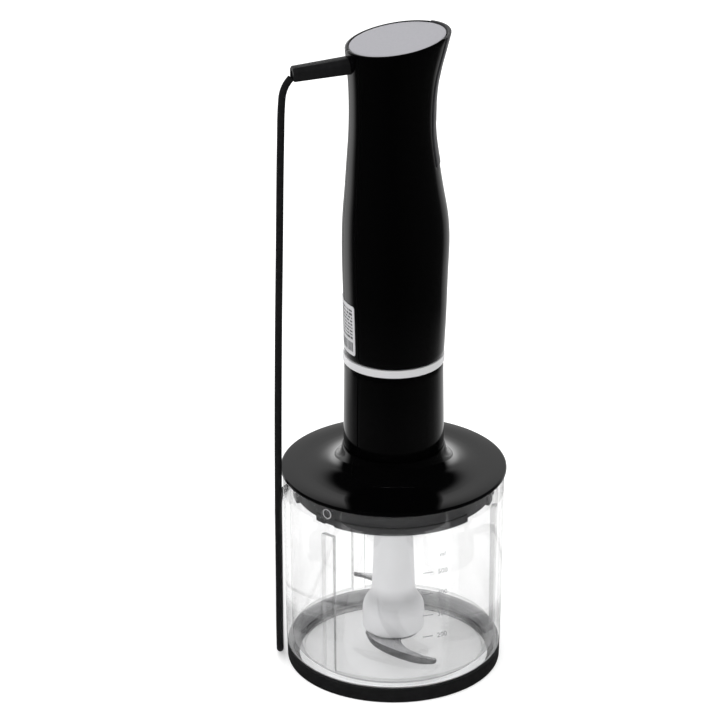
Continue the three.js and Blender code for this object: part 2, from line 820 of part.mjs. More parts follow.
for (const [name, height] of Object.entries(BUTTONS)) {
  add(`${name}_button`, button(height), 'satinBlack');
  const front = BOARD.front - GAP;
  const half = SWITCH.side / 2;
  const body = block([-half, front - SWITCH.depth, height - half], [half, front, height + half]);
  add(`${name}_switch`, body, 'satinBlack');
}
add(
  'switch_board',
  block(
    [-BOARD.width / 2, BOARD.front, BOARD.low],
    [BOARD.width / 2, BOARD.front + BOARD.thickness, BOARD.high],
  ),
  'board',
);
add('suppressor_capacitor', block([-9, 1, 274], [9, 12, 292]), 'amber');

const shaftHole = SHAFT.radius + GAP;
add('lower_bracket', lowerBracket(), 'satinBlack');
add('upper_bracket', upperBracket(), 'satinBlack');
for (const [name, low] of [['lower', BRACKET.low], ['upper', UPPER_BRACKET.low]]) {
  const seat = low + 0.5;
  add(`${name}_bearing`, tube(shaftHole, BEARING.radius, seat, seat + BEARING.height), 'steel');
}
add('motor_stator', stator(), 'iron');
for (const [name, side] of [['left', -1], ['right', 1]]) {
  const reach = [side * (COMMUTATOR.radius + 1), side * 19].sort((a, b) => a - b);
  add(`brush_holder_${name}`, block([reach[0], -4, 235.5], [reach[1], 4, 244]), 'brass');
}
add('motor_shaft', rod(SHAFT.radius, SHAFT.low, SHAFT.high), 'steel');
add('armature', tube(shaftHole, ARMATURE.radius, ARMATURE.low, ARMATURE.high), 'iron');
add('commutator', tube(shaftHole, COMMUTATOR.radius, COMMUTATOR.low, COMMUTATOR.high), 'copper');
add('cooling_fan', fan(), 'white');
add('drive_coupling', driveCoupling(), 'white');

add('cord_guard', cordGuard(), 'satinBlack');
add('cord_clamp', block([-6, 8.5, 322], [6, 14.5, 329]), 'white');
const hanging = CORD_HANGING.map(([y, z]) => new THREE.Vector3(0, y, z));
const lying = CORD_LYING.map((place) => storedPoint(...place));
add('cord', cordTube([...hanging, ...lying], CORD.steps), 'satinBlack');
add('cord_tail', cordTube(CORD_TAIL.map((place) => storedPoint(...place)), 9), 'satinBlack');
add('cord_coil', coilRing(), 'satinBlack', stored);
add('cord_tie', cordTie(), 'satinBlack', stored);
add('mains_plug', plugBody(), 'satinBlack', stored);
add('plug_pin_left', plugPin(1), 'steel', stored);
add('plug_pin_right', plugPin(-1), 'steel', stored);

export default group;
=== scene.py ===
"""A hand blender's motor unit on its chopper bowl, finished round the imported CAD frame.

Shapes are written in millimetres, as in the CAD, and become metres when a mesh is made. The bowl's
axis is Z, the table is z = 0, the buttons face -Y and the mains cord leaves to +Y.
"""

import json
import math
from random import Random
from types import SimpleNamespace as Sizes

import bmesh
import bpy
import numpy as np
from mathutils import Matrix, Vector


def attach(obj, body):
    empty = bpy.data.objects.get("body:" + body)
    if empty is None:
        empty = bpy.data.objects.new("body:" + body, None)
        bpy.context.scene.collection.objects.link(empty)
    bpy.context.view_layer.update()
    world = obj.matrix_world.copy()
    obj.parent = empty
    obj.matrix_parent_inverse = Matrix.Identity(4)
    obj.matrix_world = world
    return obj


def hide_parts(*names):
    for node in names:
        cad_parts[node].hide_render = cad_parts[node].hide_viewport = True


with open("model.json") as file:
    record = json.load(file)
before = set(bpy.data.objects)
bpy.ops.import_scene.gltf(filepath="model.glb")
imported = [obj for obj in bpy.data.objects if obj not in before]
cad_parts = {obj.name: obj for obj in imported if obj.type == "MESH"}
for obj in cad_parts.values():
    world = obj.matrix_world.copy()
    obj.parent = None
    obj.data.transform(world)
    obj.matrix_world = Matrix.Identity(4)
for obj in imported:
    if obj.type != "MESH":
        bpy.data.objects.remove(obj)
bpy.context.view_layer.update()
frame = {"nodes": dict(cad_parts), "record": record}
record = frame["record"]

MM = 0.001
SCENE = bpy.context.scene
BODY_OF = {node: body for body, nodes in record["behaviour"]["bodies"].items() for node in nodes}
SLOT_OF = {part["node"]: part["material_slot"] for part in record["subparts"]}

# ---- Sizes, in millimetres ----

GAP = 0.3
BASE = Sizes(radius=54.9, foot=54.7, height=7.6, lip=52.6, inner=48.6, floor=1.6)
BOWL = Sizes(radius=55.2, inner=52.2, foot=9.4, wall=12.6, floor=7.2, under=4.6)
BOWL_RIM = Sizes(radius=56.4, inner=53.4, height=105.7)
RIB = Sizes(first=125.4, count=3, width=7.0, reach=50.2, low=9.0, high=88.1)
LUG = Sizes(radius=2.2, height=100.2, reach=50.6, length=2.8)
PIN_SEAT = Sizes(boss=6.0, top=11.5, bore=2.6, low=6.2)
MARKS = Sizes(low=37.3, step=12.1, values=(200, 300, 400, 500), text=187.6, tick=179.7)
HUB = Sizes(low=15.9, bore=4.3, bore_top=33.5, high=93.4)
BLADE = Sizes(thickness=1.5, low=13.95, high=26.4, share=0.95, eye=4.6, root=13.5)
LID = Sizes(radius=57.4, under=106.4, top=108.0, socket=21.6, neck=26.0, neck_top=120.4)
SKIRT = Sizes(inner=48.2, outer=50.2, low=94.3, top=106.0, plate=(101.4, 103.6))
BAYONET = Sizes(reach=51.3, low=92.8, high=97.0, start=115.2, span=95.6, notch=7.0)
SLEEVE = Sizes(low=120.8, high=166.7, bottom=25.4, top=25.0, spigot=21.2, line=152.5)
TRIM = Sizes(low=167.2, high=171.15, radius=25.5, inner=22.2)
TOP = Sizes(height=336.5, at=-0.75, slope=math.tan(math.radians(7.6)))
WALL = 2.4
# height, reach to the back and reach to the front of the handle
HANDLE_STATIONS = (
    (171.7, 24.7, 25.3), (196, 25.2, 26.4), (217, 25.75, 27.1), (234, 25.85, 27.6), (247, 25.35, 26.6),
    (258, 24.5, 24.7), (272, 23.6, 22.5), (288, 22.6, 20.4), (303, 22.35, 20.4), (318, 22.9, 22.1),
    (330, 24, 25.1), (341, 24.8, 27.9),
)
SLIMMING = Sizes(start=250.0, stop=340.0, share=0.1)
CAP = Sizes(rim=1.85, inset=2.15, below=0.2, thickness=2.7, ledge=3.2)
RIM_ROUND = ((0.9, 0.0), (0.55, 0.1), (0.3, 0.4), (0.12, 0.85), (0.03, 1.35))
PANEL = Sizes(low=272.5, half_angle=36.5, proud=0.5, inset=1.2)
BUTTONS = {"power_button": 319.0, "turbo_button": 298.0}
BUTTON = Sizes(radius=6.9, proud=0.6, flange=8.3, stem=2.5, stem_end=-14.6)
LABEL = Sizes(width=21.0, low=175.0, high=201.7)
SCREWS = {"screw_lower": (12.0, 262.0, 18.4), "screw_upper": (9.0, 306.0, 16.0)}
SCREW = Sizes(head=3.0, shank=1.2, tip=-9.0)
GUARD = Sizes(
    root=17.0, end=51.3, root_z=322.0, end_z=320.4, half_width=4.35, narrows=0.25, height=7.9,
    sinks=1.4, chamfer=0.26,
)
EXIT_TILT = 39.6
CORD_RADIUS = 1.85
STORE_HEADING = -15.0
COIL = Sizes(away=178.8, radii=(24.2, 20.45, 16.7), low=2.66, high=6.42)
TIE = Sizes(heading=-35.0, width=5.0)
PLUG = Sizes(left=-5.5, entry=201.0, back=179.0, front=142.0, width=35.0, low=8.9, height=14.0)
PLUG_PIN = Sizes(radius=2.0, length=19.0, spacing=18.6)


# ---- Camera ----

# The place is in metres. The turn is heading, pitch down and roll, in degrees.
CAMERA = Sizes(
    place=(-1.7330, 0.4871, 0.9788), turn=(-105.16, 24.30, 0.14897), lens=196.8, sensor=36.0
)


def add_camera():
    """The camera stands to the left of the front, above the object, and looks down at it."""
    data = bpy.data.cameras.new("camera")
    data.lens = CAMERA.lens
    data.sensor_width = CAMERA.sensor
    camera = placed("camera", data)
    camera.location = CAMERA.place
    heading, pitch, roll = CAMERA.turn
    camera.rotation_euler = (turn(heading) @ turn(90 - pitch, "X") @ turn(-roll)).to_euler()
    SCENE.camera = camera


# ---- Shader nodes ----


def feed(tree, socket, value):
    """Links a socket to another node's, or sets its value."""
    if isinstance(value, bpy.types.NodeSocket):
        tree.links.new(value, socket)
    elif value is not None:
        socket.default_value = value


def new_node(tree, kind, *values, operation=None, output=0, **named):
    """A new node's output. The values feed its first inputs in order, and named feeds others."""
    made = tree.nodes.new(kind)
    if operation:
        made.operation = operation
    for socket, value in zip(made.inputs, values):
        feed(tree, socket, value)
    for name, value in named.items():
        feed(tree, made.inputs[name], value)
    return made.outputs[output]


def maths(tree, operation, *values):
    return new_node(tree, "ShaderNodeMath", *values, operation=operation)


def ranged(tree, value, low, high, start=0.3, stop=0.7):
    """Low where the value is at start, high where it is at stop, and even between them."""
    return new_node(tree, "ShaderNodeMapRange", value, start, stop, low, high)


def mixed_colour(tree, factor, first, second):
    made = tree.nodes.new("ShaderNodeMix")
    made.data_type = "RGBA"
    colours = [socket for socket in made.inputs if socket.type == "RGBA"]
    for socket, value in zip((made.inputs[0], *colours), (factor, first, second)):
        feed(tree, socket, value)
    return next(socket for socket in made.outputs if socket.type == "RGBA")


def noise(size, detail=3.0, stretch=(1, 1, 1)):
    """Cloudy values from 0 to 1, whose patches are about size metres wide, times stretch."""

    def made(tree):
        place = new_node(tree, "ShaderNodeTexCoord", output="Object")
        scale = [1 / (size * share) for share in stretch]
        mapped = new_node(tree, "ShaderNodeMapping", place, Scale=scale)
        return new_node(
            tree, "ShaderNodeTexNoise", Vector=mapped, Scale=1.0, Detail=detail, output="Fac"
        )

    return made


def grain(size):
    """The distance to the nearest of many scattered points, about size metres apart."""

    def made(tree):
        place = new_node(tree, "ShaderNodeTexCoord", output="Object")
        return new_node(tree, "ShaderNodeTexVoronoi", Vector=place, Scale=1 / size, output="Distance")

    return made


def shoulder_shade(tree):
    """Painted shade: clouds in a soft band of heights at the bell's shoulder, with the socket's end
    inside it, where the milky plastic is painted darker.
    """
    place = new_node(tree, "ShaderNodeTexCoord", output="Object")
    height = new_node(tree, "ShaderNodeSeparateXYZ", place, output="Z")
    under_top = ranged(tree, height, 1.0, 0.0, 0.035, 0.041)
    over_foot = ranged(tree, height, 0.0, 1.0, 0.026, 0.034)
    band = maths(tree, "MULTIPLY", under_top, over_foot)
    return maths(tree, "MULTIPLY_ADD", ranged(tree, noise(0.012, 2)(tree), 0.3, 0.4), band, 0.3)


# ---- Materials ----


class Finish:
    """A material whose Principled shader gets its detail from textures in the CAD frame."""

    def __init__(self, name, colour, roughness, metallic=0.0, **constants):
        self.name = name
        self.colour = (*colour, 1.0)
        self.roughness = roughness
        self.material = bpy.data.materials.new(name)
        self.material.use_nodes = True
        self.tree = self.material.node_tree
        self.shader = self.tree.nodes["Principled BSDF"]
        constants.update(Base_Color=self.colour, Roughness=roughness, Metallic=metallic)
        for socket, value in constants.items():
            self.fed(socket.replace("_", " "), value)

    def fed(self, socket, value):
        feed(self.tree, self.shader.inputs[socket], value)
        return self

    def vary_roughness(self, texture, spread):
        low, high = self.roughness - spread, self.roughness + spread
        return self.fed("Roughness", ranged(self.tree, texture(self.tree), low, high))

    def vary_colour(self, texture, other):
        share = ranged(self.tree, texture(self.tree), 0.0, 1.0)
        return self.fed("Base Color", mixed_colour(self.tree, share, self.colour, (*other, 1.0)))

    def bump(self, texture, depth, strength=1.0):
        """Raises the surface by the texture, depth metres high. A second call adds to the first."""
        earlier = self.shader.inputs["Normal"].links
        made = self.tree.nodes.new("ShaderNodeBump")
        inputs = {"Height": texture(self.tree), "Distance": depth, "Strength": strength}
        if earlier:
            inputs["Normal"] = earlier[0].from_socket
        for socket, value in inputs.items():
            feed(self.tree, made.inputs[socket], value)
        return self.fed("Normal", made.outputs["Normal"])

    def thin_clear(self, face_on, edge_on, steepness):
        """Clear where it faces the eye, denser where it is seen along its surface."""
        facing = new_node(self.tree, "ShaderNodeLayerWeight", Blend=0.5, output="Facing")
        steep = maths(self.tree, "POWER", facing, steepness)
        return self.fed("Alpha", ranged(self.tree, steep, face_on, edge_on, 0.0, 1.0))

    def lets_lamps_through(self, tint):
        """Shadow rays pass straight through, so that what stands behind clear plastic is lit."""
        shadow = new_node(self.tree, "ShaderNodeLightPath", output="Is Shadow Ray")
        clear = new_node(self.tree, "ShaderNodeBsdfTransparent", (*tint, 1.0))
        solid = self.shader.outputs["BSDF"]
        either = new_node(self.tree, "ShaderNodeMixShader", shadow, solid, clear)
        self.tree.links.new(either, self.tree.nodes["Material Output"].inputs["Surface"])
        return self


FINISHES = (
    Finish("gloss_black", (0.0006, 0.0006, 0.0007), 0.085)
    .vary_roughness(noise(0.02, 4), 0.02)
    .bump(noise(0.006, 2), 0.00002, 0.25)
    .bump(noise(0.0004, 2), 0.000004, 0.3),
    Finish("satin_black", (0.006, 0.006, 0.0065), 0.4, Specular_IOR_Level=0.16)
    .vary_colour(noise(0.004), (0.009, 0.009, 0.0095))
    .vary_roughness(noise(0.003), 0.06)
    .bump(grain(0.0004), 0.00003, 0.35),
    # painted light: a lighter copy of the satin black for the lid's base plate, whose skirt sits in
    # the lid's shadow
    Finish("lightened_plate_black", (0.04, 0.04, 0.041), 0.4, Specular_IOR_Level=0.3)
    .vary_colour(noise(0.004), (0.046, 0.046, 0.047))
    .vary_roughness(noise(0.003), 0.06)
    .bump(grain(0.0004), 0.00002, 0.3),
    Finish("soft_panel", (0.02, 0.0195, 0.023), 0.52, Sheen_Weight=0.15, Sheen_Roughness=0.4)
    .vary_colour(noise(0.008), (0.026, 0.025, 0.029))
    .vary_roughness(noise(0.002), 0.07)
    .bump(grain(0.00025), 0.00002, 0.4),
    Finish("base_rubber", (0.0045, 0.0045, 0.005), 0.62)
    .vary_colour(noise(0.003, 5), (0.008, 0.008, 0.009))
    .vary_roughness(noise(0.0015), 0.09)
    .bump(grain(0.0005), 0.00004, 0.5),
    Finish("seal_rubber", (0.02, 0.02, 0.021), 0.6)
    .vary_colour(noise(0.002), (0.03, 0.03, 0.031))
    .bump(noise(0.0006), 0.00002, 0.5),
    Finish("clear_plastic", (0.78, 0.782, 0.785), 0.012, IOR=1.46, Transmission_Weight=1.0)
    .bump(noise(0.03, 2, (1, 1, 3)), 0.0003, 0.12)
    .thin_clear(0.13, 0.75, 4.0)
    .lets_lamps_through((0.96, 0.965, 0.97)),
    # the thick rounded corner between the wall and the floor of the bowl
    Finish("clear_corner", (0.55, 0.55, 0.555), 0.15, IOR=1.4)
    .vary_roughness(noise(0.004), 0.05)
    .thin_clear(0.22, 0.6, 2.0)
    .lets_lamps_through((0.93, 0.93, 0.935)),
    # painted reflection: a light grey band over the foot, for the white surroundings mirrored over the
    # dark base ring behind it
    Finish("foot_reflection_band", (0.42, 0.42, 0.425), 0.45, IOR=1.3)
    .vary_colour(noise(0.004, 3, (1, 1, 0.2)), (0.34, 0.34, 0.345))
    .thin_clear(0.85, 1.0, 2.0)
    .lets_lamps_through((0.9, 0.9, 0.91)),
    # painted reflections: grey lines on the ribs' sides and tops and on the corner's two arcs
    Finish("edge_reflection_lines", (0.3, 0.3, 0.305), 0.2, IOR=1.46)
    .vary_roughness(noise(0.002), 0.05)
    .thin_clear(0.3, 0.8, 1.5)
    .lets_lamps_through((0.9, 0.9, 0.91)),
    Finish("clear_marks", (0.36, 0.36, 0.37), 0.3, IOR=1.3)
    .vary_roughness(noise(0.0008), 0.08)
    .thin_clear(0.42, 0.7, 2.0)
    .lets_lamps_through((0.8, 0.8, 0.82)),
    # painted highlight: the bright rings round the bayonet pins
    Finish("pin_edge_highlight", (0.75, 0.75, 0.76), 0.2, IOR=1.46)
    .vary_roughness(noise(0.001), 0.05)
    .thin_clear(0.55, 0.9, 1.0)
    .lets_lamps_through((0.9, 0.9, 0.91)),
    Finish(
        "hub_white", (0.78, 0.78, 0.79), 0.34, IOR=1.4, Subsurface_Weight=0.6,
        Subsurface_Radius=(1.0, 1.0, 1.0), Subsurface_Scale=0.004,
    )
    # painted shade: the hub's colour goes darker in the band at the bell's shoulder
    .vary_colour(shoulder_shade, (0.52, 0.52, 0.53))
    .vary_roughness(noise(0.004), 0.05)
    .bump(noise(0.0008), 0.00001, 0.3),
    Finish("inner_white", (0.68, 0.68, 0.66), 0.45)
    .vary_colour(noise(0.006), (0.62, 0.62, 0.6))
    .bump(noise(0.0007), 0.00002, 0.4),
    Finish("cap_grey", (0.305, 0.302, 0.325), 0.42)
    .vary_colour(noise(0.0006, 4), (0.325, 0.322, 0.345))
    .vary_roughness(noise(0.0015), 0.05)
    .bump(grain(0.0003), 0.000012, 0.4),
    Finish("trim_silver", (0.78, 0.78, 0.79), 0.36, 0.4)
    .vary_roughness(noise(0.0004, 3, (12, 12, 0.5)), 0.07)
    .bump(noise(0.0004, 3, (12, 12, 0.5)), 0.000006, 0.5),
    Finish("blade_steel", (0.60, 0.60, 0.61), 0.27, 1.0)
    .vary_roughness(noise(0.00025, 4, (14, 1, 1)), 0.09)
    .vary_colour(noise(0.006), (0.54, 0.54, 0.55))
    .bump(noise(0.00025, 4, (14, 1, 1)), 0.000006, 0.6),
    # painted shade: a far darker copy of the blade steel, for the slanting ground faces
    Finish("shaded_ground_edge", (0.045, 0.045, 0.048), 0.3, 1.0)
    .vary_roughness(noise(0.0002, 3, (1, 1, 10)), 0.06)
    .bump(noise(0.0002, 3, (1, 1, 10)), 0.000005, 0.5),
    Finish("steel", (0.55, 0.55, 0.56), 0.24, 1.0)
    .vary_colour(noise(0.003), (0.48, 0.48, 0.49))
    .vary_roughness(noise(0.0006, 4), 0.08),
    Finish("iron", (0.12, 0.12, 0.125), 0.5, 0.85)
    .vary_colour(noise(0.0005, 1, (60, 60, 1)), (0.2, 0.2, 0.21))
    .bump(noise(0.0005, 1, (60, 60, 1)), 0.00008, 0.7),
    Finish("brass", (0.60, 0.40, 0.16), 0.3, 1.0)
    .vary_colour(noise(0.003), (0.5, 0.33, 0.13))
    .vary_roughness(noise(0.0008), 0.08),
    Finish("copper", (0.62, 0.30, 0.16), 0.3, 1.0)
    .vary_colour(noise(0.001, 3, (1, 1, 20)), (0.3, 0.14, 0.08))
    .vary_roughness(noise(0.0008), 0.08),
    Finish("circuit_board", (0.02, 0.13, 0.05), 0.4)
    .vary_colour(grain(0.004), (0.03, 0.2, 0.08))
    .bump(noise(0.001), 0.00003, 0.4),
    Finish("capacitor", (0.5, 0.26, 0.04), 0.25)
    .vary_colour(noise(0.004), (0.42, 0.2, 0.03))
    .bump(noise(0.002), 0.00005, 0.4),
    Finish("label", (0.58, 0.58, 0.59), 0.4, 0.2)
    .vary_colour(noise(0.003), (0.52, 0.52, 0.53))
    .vary_roughness(noise(0.0006), 0.08),
    Finish("label_ink", (0.035, 0.035, 0.04), 0.5)
    .vary_colour(noise(0.0005), (0.07, 0.07, 0.075)),
    Finish("cord_jacket", (0.005, 0.005, 0.0055), 0.42, Specular_IOR_Level=0.35)
    .vary_colour(noise(0.002), (0.009, 0.009, 0.0095))
    .vary_roughness(noise(0.001), 0.08)
    .bump(noise(0.0005), 0.00002, 0.35),
    Finish("woven_tie", (0.012, 0.012, 0.013), 0.85, Sheen_Weight=0.3)
    .vary_colour(grain(0.0006), (0.03, 0.03, 0.032))
    .bump(grain(0.0006), 0.0002, 0.8),
    Finish(
        "floor_white", (0.9, 0.9, 0.9), 0.9, Specular_IOR_Level=0.0,
        Emission_Strength=0.32, Emission_Color=(1.0, 1.0, 1.0, 1.0),
    )
    .vary_colour(noise(0.4, 2), (0.89, 0.89, 0.89)),
)
MATERIALS = {finish.name: finish.material for finish in FINISHES}


# ---- Making shapes ----


def placed(name, data):
    """A new object in the scene, of a mesh, curve, camera or lamp."""
    made = bpy.data.objects.new(name, data)
    SCENE.collection.objects.link(made)
    return made


def made_object(name, points, faces):
    """A mesh object from points in millimetres, with doubles merged and its faces pointing out."""
    data = bpy.data.meshes.new(name)
    data.from_pydata([tuple(float(c) * MM for c in point) for point in points], [], faces)
    build = bmesh.new()
    build.from_mesh(data)
    bmesh.ops.remove_doubles(build, verts=build.verts, dist=1e-6)
    loose = [vertex for vertex in build.verts if not vertex.link_faces]
    bmesh.ops.delete(build, geom=loose, context="VERTS")
    bmesh.ops.recalc_face_normals(build, faces=build.faces)
    build.to_mesh(data)
    build.free()
    return placed(name, data)


def applied(piece):
    """Turns the piece's modifiers into its mesh."""
    bpy.context.view_layer.update()
    shown = piece.evaluated_get(bpy.context.evaluated_depsgraph_get())
    data = bpy.data.meshes.new_from_object(shown)
    piece.modifiers.clear()
    piece.data = data
    return piece


def combined(piece, tool, operation="DIFFERENCE"):
    """Cuts the tool out of the piece, or joins it, and removes the tool."""
    modifier = piece.modifiers.new("combine", "BOOLEAN")
    modifier.operation = operation
    modifier.solver = "EXACT"
    modifier.object = tool
    applied(piece)
    bpy.data.objects.remove(tool)
    return piece


def bevelled(piece, width, segments=2, angle=40):
    """Rounds the piece's sharp edges, width in millimetres."""
    modifier = piece.modifiers.new("bevel", "BEVEL")
    modifier.width = width * MM
    modifier.segments = segments
    modifier.limit_method = "ANGLE"
    modifier.angle_limit = math.radians(angle)
    modifier.use_clamp_overlap = True
    modifier.miter_outer = "MITER_ARC"
    return applied(piece)


def smoothed(piece, angle=38):
    piece.data.shade_smooth()
    piece.data.set_sharp_from_angle(angle=math.radians(angle))
    return piece


def painted(piece, *names):
    piece.data.materials.clear()
    for name in names:
        piece.data.materials.append(MATERIALS[name])


def stand_in(piece, node, *others, angle=38):
    """The piece takes the node's place, body and material slot."""
    if piece.type == "MESH":
        smoothed(piece, angle)
    if not piece.data.materials:
        painted(piece, SLOT_OF[node])
    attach(piece, BODY_OF[node])
    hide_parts(node, *others)
    return piece


def detail(piece, body, slot, *names, angle=38):
    """A small piece of its own, which stands for no CAD node."""
    smoothed(piece, angle)
    painted(piece, *(names or (slot,)))
    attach(piece, body)
    return piece


def eased(corners, steps=4, closed=True):
    """An outline with rounded corners: each is (x, y) or (x, y, how far from it its round starts)."""
    result = []
    count = len(corners)
    for i, (x, y, *cut) in enumerate(corners):
        here = Vector((x, y))
        if not cut or not closed and i in (0, count - 1):
            result.append((x, y))
            continue
        before = Vector(corners[i - 1][:2]) - here
        after = Vector(corners[(i + 1) % count][:2]) - here
        start = here + before.normalized() * min(cut[0], before.length * 0.49)
        end = here + after.normalized() * min(cut[0], after.length * 0.49)
        for k in range(steps + 1):
            t = k / steps
            result.append(tuple(start * (1 - t) ** 2 + here * 2 * t * (1 - t) + end * t * t))
    return result


def spline(knots, values):
    """A smooth curve through the values at the knots, as a function of the knots' parameter."""
    knots = np.asarray(knots, float)
    values = np.asarray(values, float)
    count = len(knots)
    gaps = np.diff(knots)
    slopes = np.diff(values, axis=0) / gaps[:, None]
    system = np.eye(count)
    right = np.zeros_like(values)
    for i in range(1, count - 1):
        system[i, i - 1 : i + 2] = gaps[i - 1], 2 * (gaps[i - 1] + gaps[i]), gaps[i]
        right[i] = 6 * (slopes[i] - slopes[i - 1])
    bends = np.linalg.solve(system, right)

    def read(at):
        i = int(np.clip(np.searchsorted(knots, at) - 1, 0, count - 2))
        gap = gaps[i]
        a, b = (knots[i + 1] - at) / gap, (at - knots[i]) / gap
        bend = (a**3 - a) * bends[i] + (b**3 - b) * bends[i + 1]
        return a * values[i] + b * values[i + 1] + bend * gap * gap / 6

    return read


def smooth_line(points, count):
    """Points evenly spaced in parameter along a smooth curve through the given ones."""
    points = np.asarray(points, float)
    steps = np.linalg.norm(np.diff(points, axis=0), axis=1)
    knots = np.concatenate([[0], np.cumsum(steps)])
    read = spline(knots, points)
    return [tuple(read(at)) for at in np.linspace(0, knots[-1], count)]


def turned(name, outline, sides=128, angles=None, moved=None):
    """A solid of revolution about Z. moved changes a point's radius by its place and angle."""
    angles = angles or [i * 360 / sides for i in range(sides)]
    sides, rows = len(angles), len(outline)
    points, faces = [], []
    for degrees in angles:
        turn = math.radians(degrees)
        for radius, z in outline:
            radius = moved(radius, z, degrees) if moved else radius
            points.append((radius * math.cos(turn), radius * math.sin(turn), z))
    for i in range(sides):
        for j in range(rows):
            k = (j + 1) % rows
            if outline[j][0] == 0 and outline[k][0] == 0:
                continue
            n = (i + 1) % sides
            corners = [i * rows + j, n * rows + j, n * rows + k, i * rows + k]
            if outline[j][0] == 0:
                corners.remove(n * rows + j)
            if outline[k][0] == 0:
                corners.remove(n * rows + k)
            faces.append(corners)
    return made_object(name, points, faces)


def raised(name, outline, low, high):
    """A flat outline raised from one height to another."""
    count = len(outline)
    points = [(x, y, low) for x, y in outline] + [(x, y, high) for x, y in outline]
    sides = [(i, (i + 1) % count, (i + 1) % count + count, i + count) for i in range(count)]
    ends = [tuple(range(count))[::-1], tuple(range(count, 2 * count))]
    return made_object(name, points, sides + ends)


def walled(name, outer, inner, keep=None):
    """A wall between two grids of points, with its rim closed all round the cells that are kept."""
    columns, rows = len(outer), len(outer[0])
    cells = {
        (i, j)
        for i in range(columns - 1)
        for j in range(rows - 1)
        if keep is None or keep(i, j)
    }
    points = [point for column in outer for point in column]
    points += [point for column in inner for point in column]
    below = columns * rows
    faces = []
    for i, j in cells:
        a, b = i * rows + j, (i + 1) * rows + j
        c, d = b + 1, a + 1
        faces += [(a, b, c, d), (a + below, d + below, c + below, b + below)]
        neighbours = {(i, j - 1): (a, b), (i + 1, j): (b, c), (i, j + 1): (c, d), (i - 1, j): (d, a)}
        for cell, (p, q) in neighbours.items():
            if cell not in cells:
                faces.append((p, p + below, q + below, q))
    return made_object(name, points, faces)


def lofted(name, rings, ends=True):
    """A solid through closed rings of points, with flat ends unless its end rings are points."""
    count = len(rings[0])
    points = [point for ring in rings for point in ring]
    faces = []
    if ends:
        faces += [tuple(range(count))[::-1], tuple(range(len(points) - count, len(points)))]
    for k in range(len(rings) - 1):
        for i in range(count):
            n = (i + 1) % count
            faces.append((k * count + i, k * count + n, (k + 1) * count + n, (k + 1) * count + i))
    return made_object(name, points, faces)


def rectangle(left, near, right, far, *corner):
    """The corners of a rectangle, each with its rounding if there is one."""
    return [(x, y, *corner) for x, y in ((left, near), (right, near), (right, far), (left, far))]


def block(name, low, high):
    return raised(name, rectangle(*low[:2], *high[:2]), low[2], high[2])


def cylinder(name, radius, low, high, sides):
    return turned(name, [(0, low), (radius, low), (radius, high), (0, high)], sides)


def shifted(piece, matrix):
    piece.data.transform(matrix)
    return piece


def turn(degrees, axis="Z"):
    return Matrix.Rotation(math.radians(degrees), 4, axis)


def move(x, y, z):
    return Matrix.Translation((x * MM, y * MM, z * MM))


# ---- Mains cord ----

# The cord's hanging stretch, as y and z in the plane x = 0.
CORD_HANGING = (
    (51.6, 321.6), (53.5, 319.3), (55, 316.6), (56, 313.4), (56.5, 309), (57.2, 290), (58.4, 235),
    (59.7, 170), (60.4, 110), (60.5, 60), (60.5, 36),
)
# Its stretch on the table, as away and left of the stored cord's heading, and z.
CORD_LYING = (
    (-15, 58.5, 23.9), (-12.7, 58.5, 13.2), (-5, 58.6, 5.1), (0, 58.75, 2.95), (6.3, 58.9, 2.05),
    (30, 59.5, 1.95), (60, 60.1, 1.95), (100, 60.8, 1.95), (140, 61.6, 1.95), (173, 61.9, 1.95),
    (184.5, 60.2, 2), (194.2, 54.2, 2.1), (200.7, 45.2, 2.3), (203, 34.5, 2.5), (203, 22, 2.6),
    (203, 14.6, 2.6),
)
# From the coil over to the plug.
CORD_TAIL = (
    (191, 25.0, 8.0), (203.15, 24.6, 10.6), (213.75, 20.2, 12.8), (218.12, 9.5, 14.6),
    (213.75, -1.1, 15.7), (206, -5.2, 15.9), (201.4, -5.5, 15.9),
)


def stored_point(away, left, z):
    heading = math.radians(STORE_HEADING)
    along_x, along_y = math.cos(heading), math.sin(heading)
    return away * along_x - left * along_y, away * along_y + left * along_x, z


def eased_share(value):
    """From 0 to 1 with soft ends."""
    share = float(np.clip(value, 0, 1))
    return share * share * (3 - 2 * share)


def coil_turns():
    """Three turns inwards on the table, then three outwards on top of them, a cord's width apart."""
    points = []
    per_turn, turns = 24, 5.75
    radii = [*COIL.radii, *reversed(COIL.radii)]
    for k in range(1, round(per_turn * turns)):
        wound = k / per_turn
        step = wound - 0.5
        low = int(np.clip(math.floor(step), 0, 4))
        radius = radii[low] + (radii[low + 1] - radii[low]) * eased_share((step - low - 0.3) / 0.4)
        z = COIL.low + (COIL.high - COIL.low) * eased_share((wound - 2.75) / 0.5)
        angle = -wound * 2 * math.pi
        points.append((COIL.away + radius * math.cos(angle), radius * math.sin(angle), z))
    return points


def add_cord():
    hanging = [(0.0, y, z) for y, z in CORD_HANGING]
    lying = [stored_point(*place) for place in (*CORD_LYING, *coil_turns(), *CORD_TAIL)]
    route = [Vector(point) * MM for point in (*hanging, *lying)]
    data = bpy.data.curves.new("mains_cord", "CURVE")
    data.dimensions = "3D"
    data.bevel_depth = CORD_RADIUS * MM
    data.bevel_resolution = 5
    data.resolution_u = 8
    data.use_fill_caps = True
    line = data.splines.new("BEZIER")
    line.bezier_points.add(len(route) - 1)
    for point, place in zip(line.bezier_points, route):
        point.co = place
        point.handle_left_type = point.handle_right_type = "AUTO"
    data.materials.append(MATERIALS["cord_jacket"])
    return stand_in(placed("mains_cord", data), "cord", "cord_tail", "cord_coil")


def on_store(piece, away=0.0, left=0.0):
    return shifted(piece, turn(STORE_HEADING) @ move(away, left, 0))


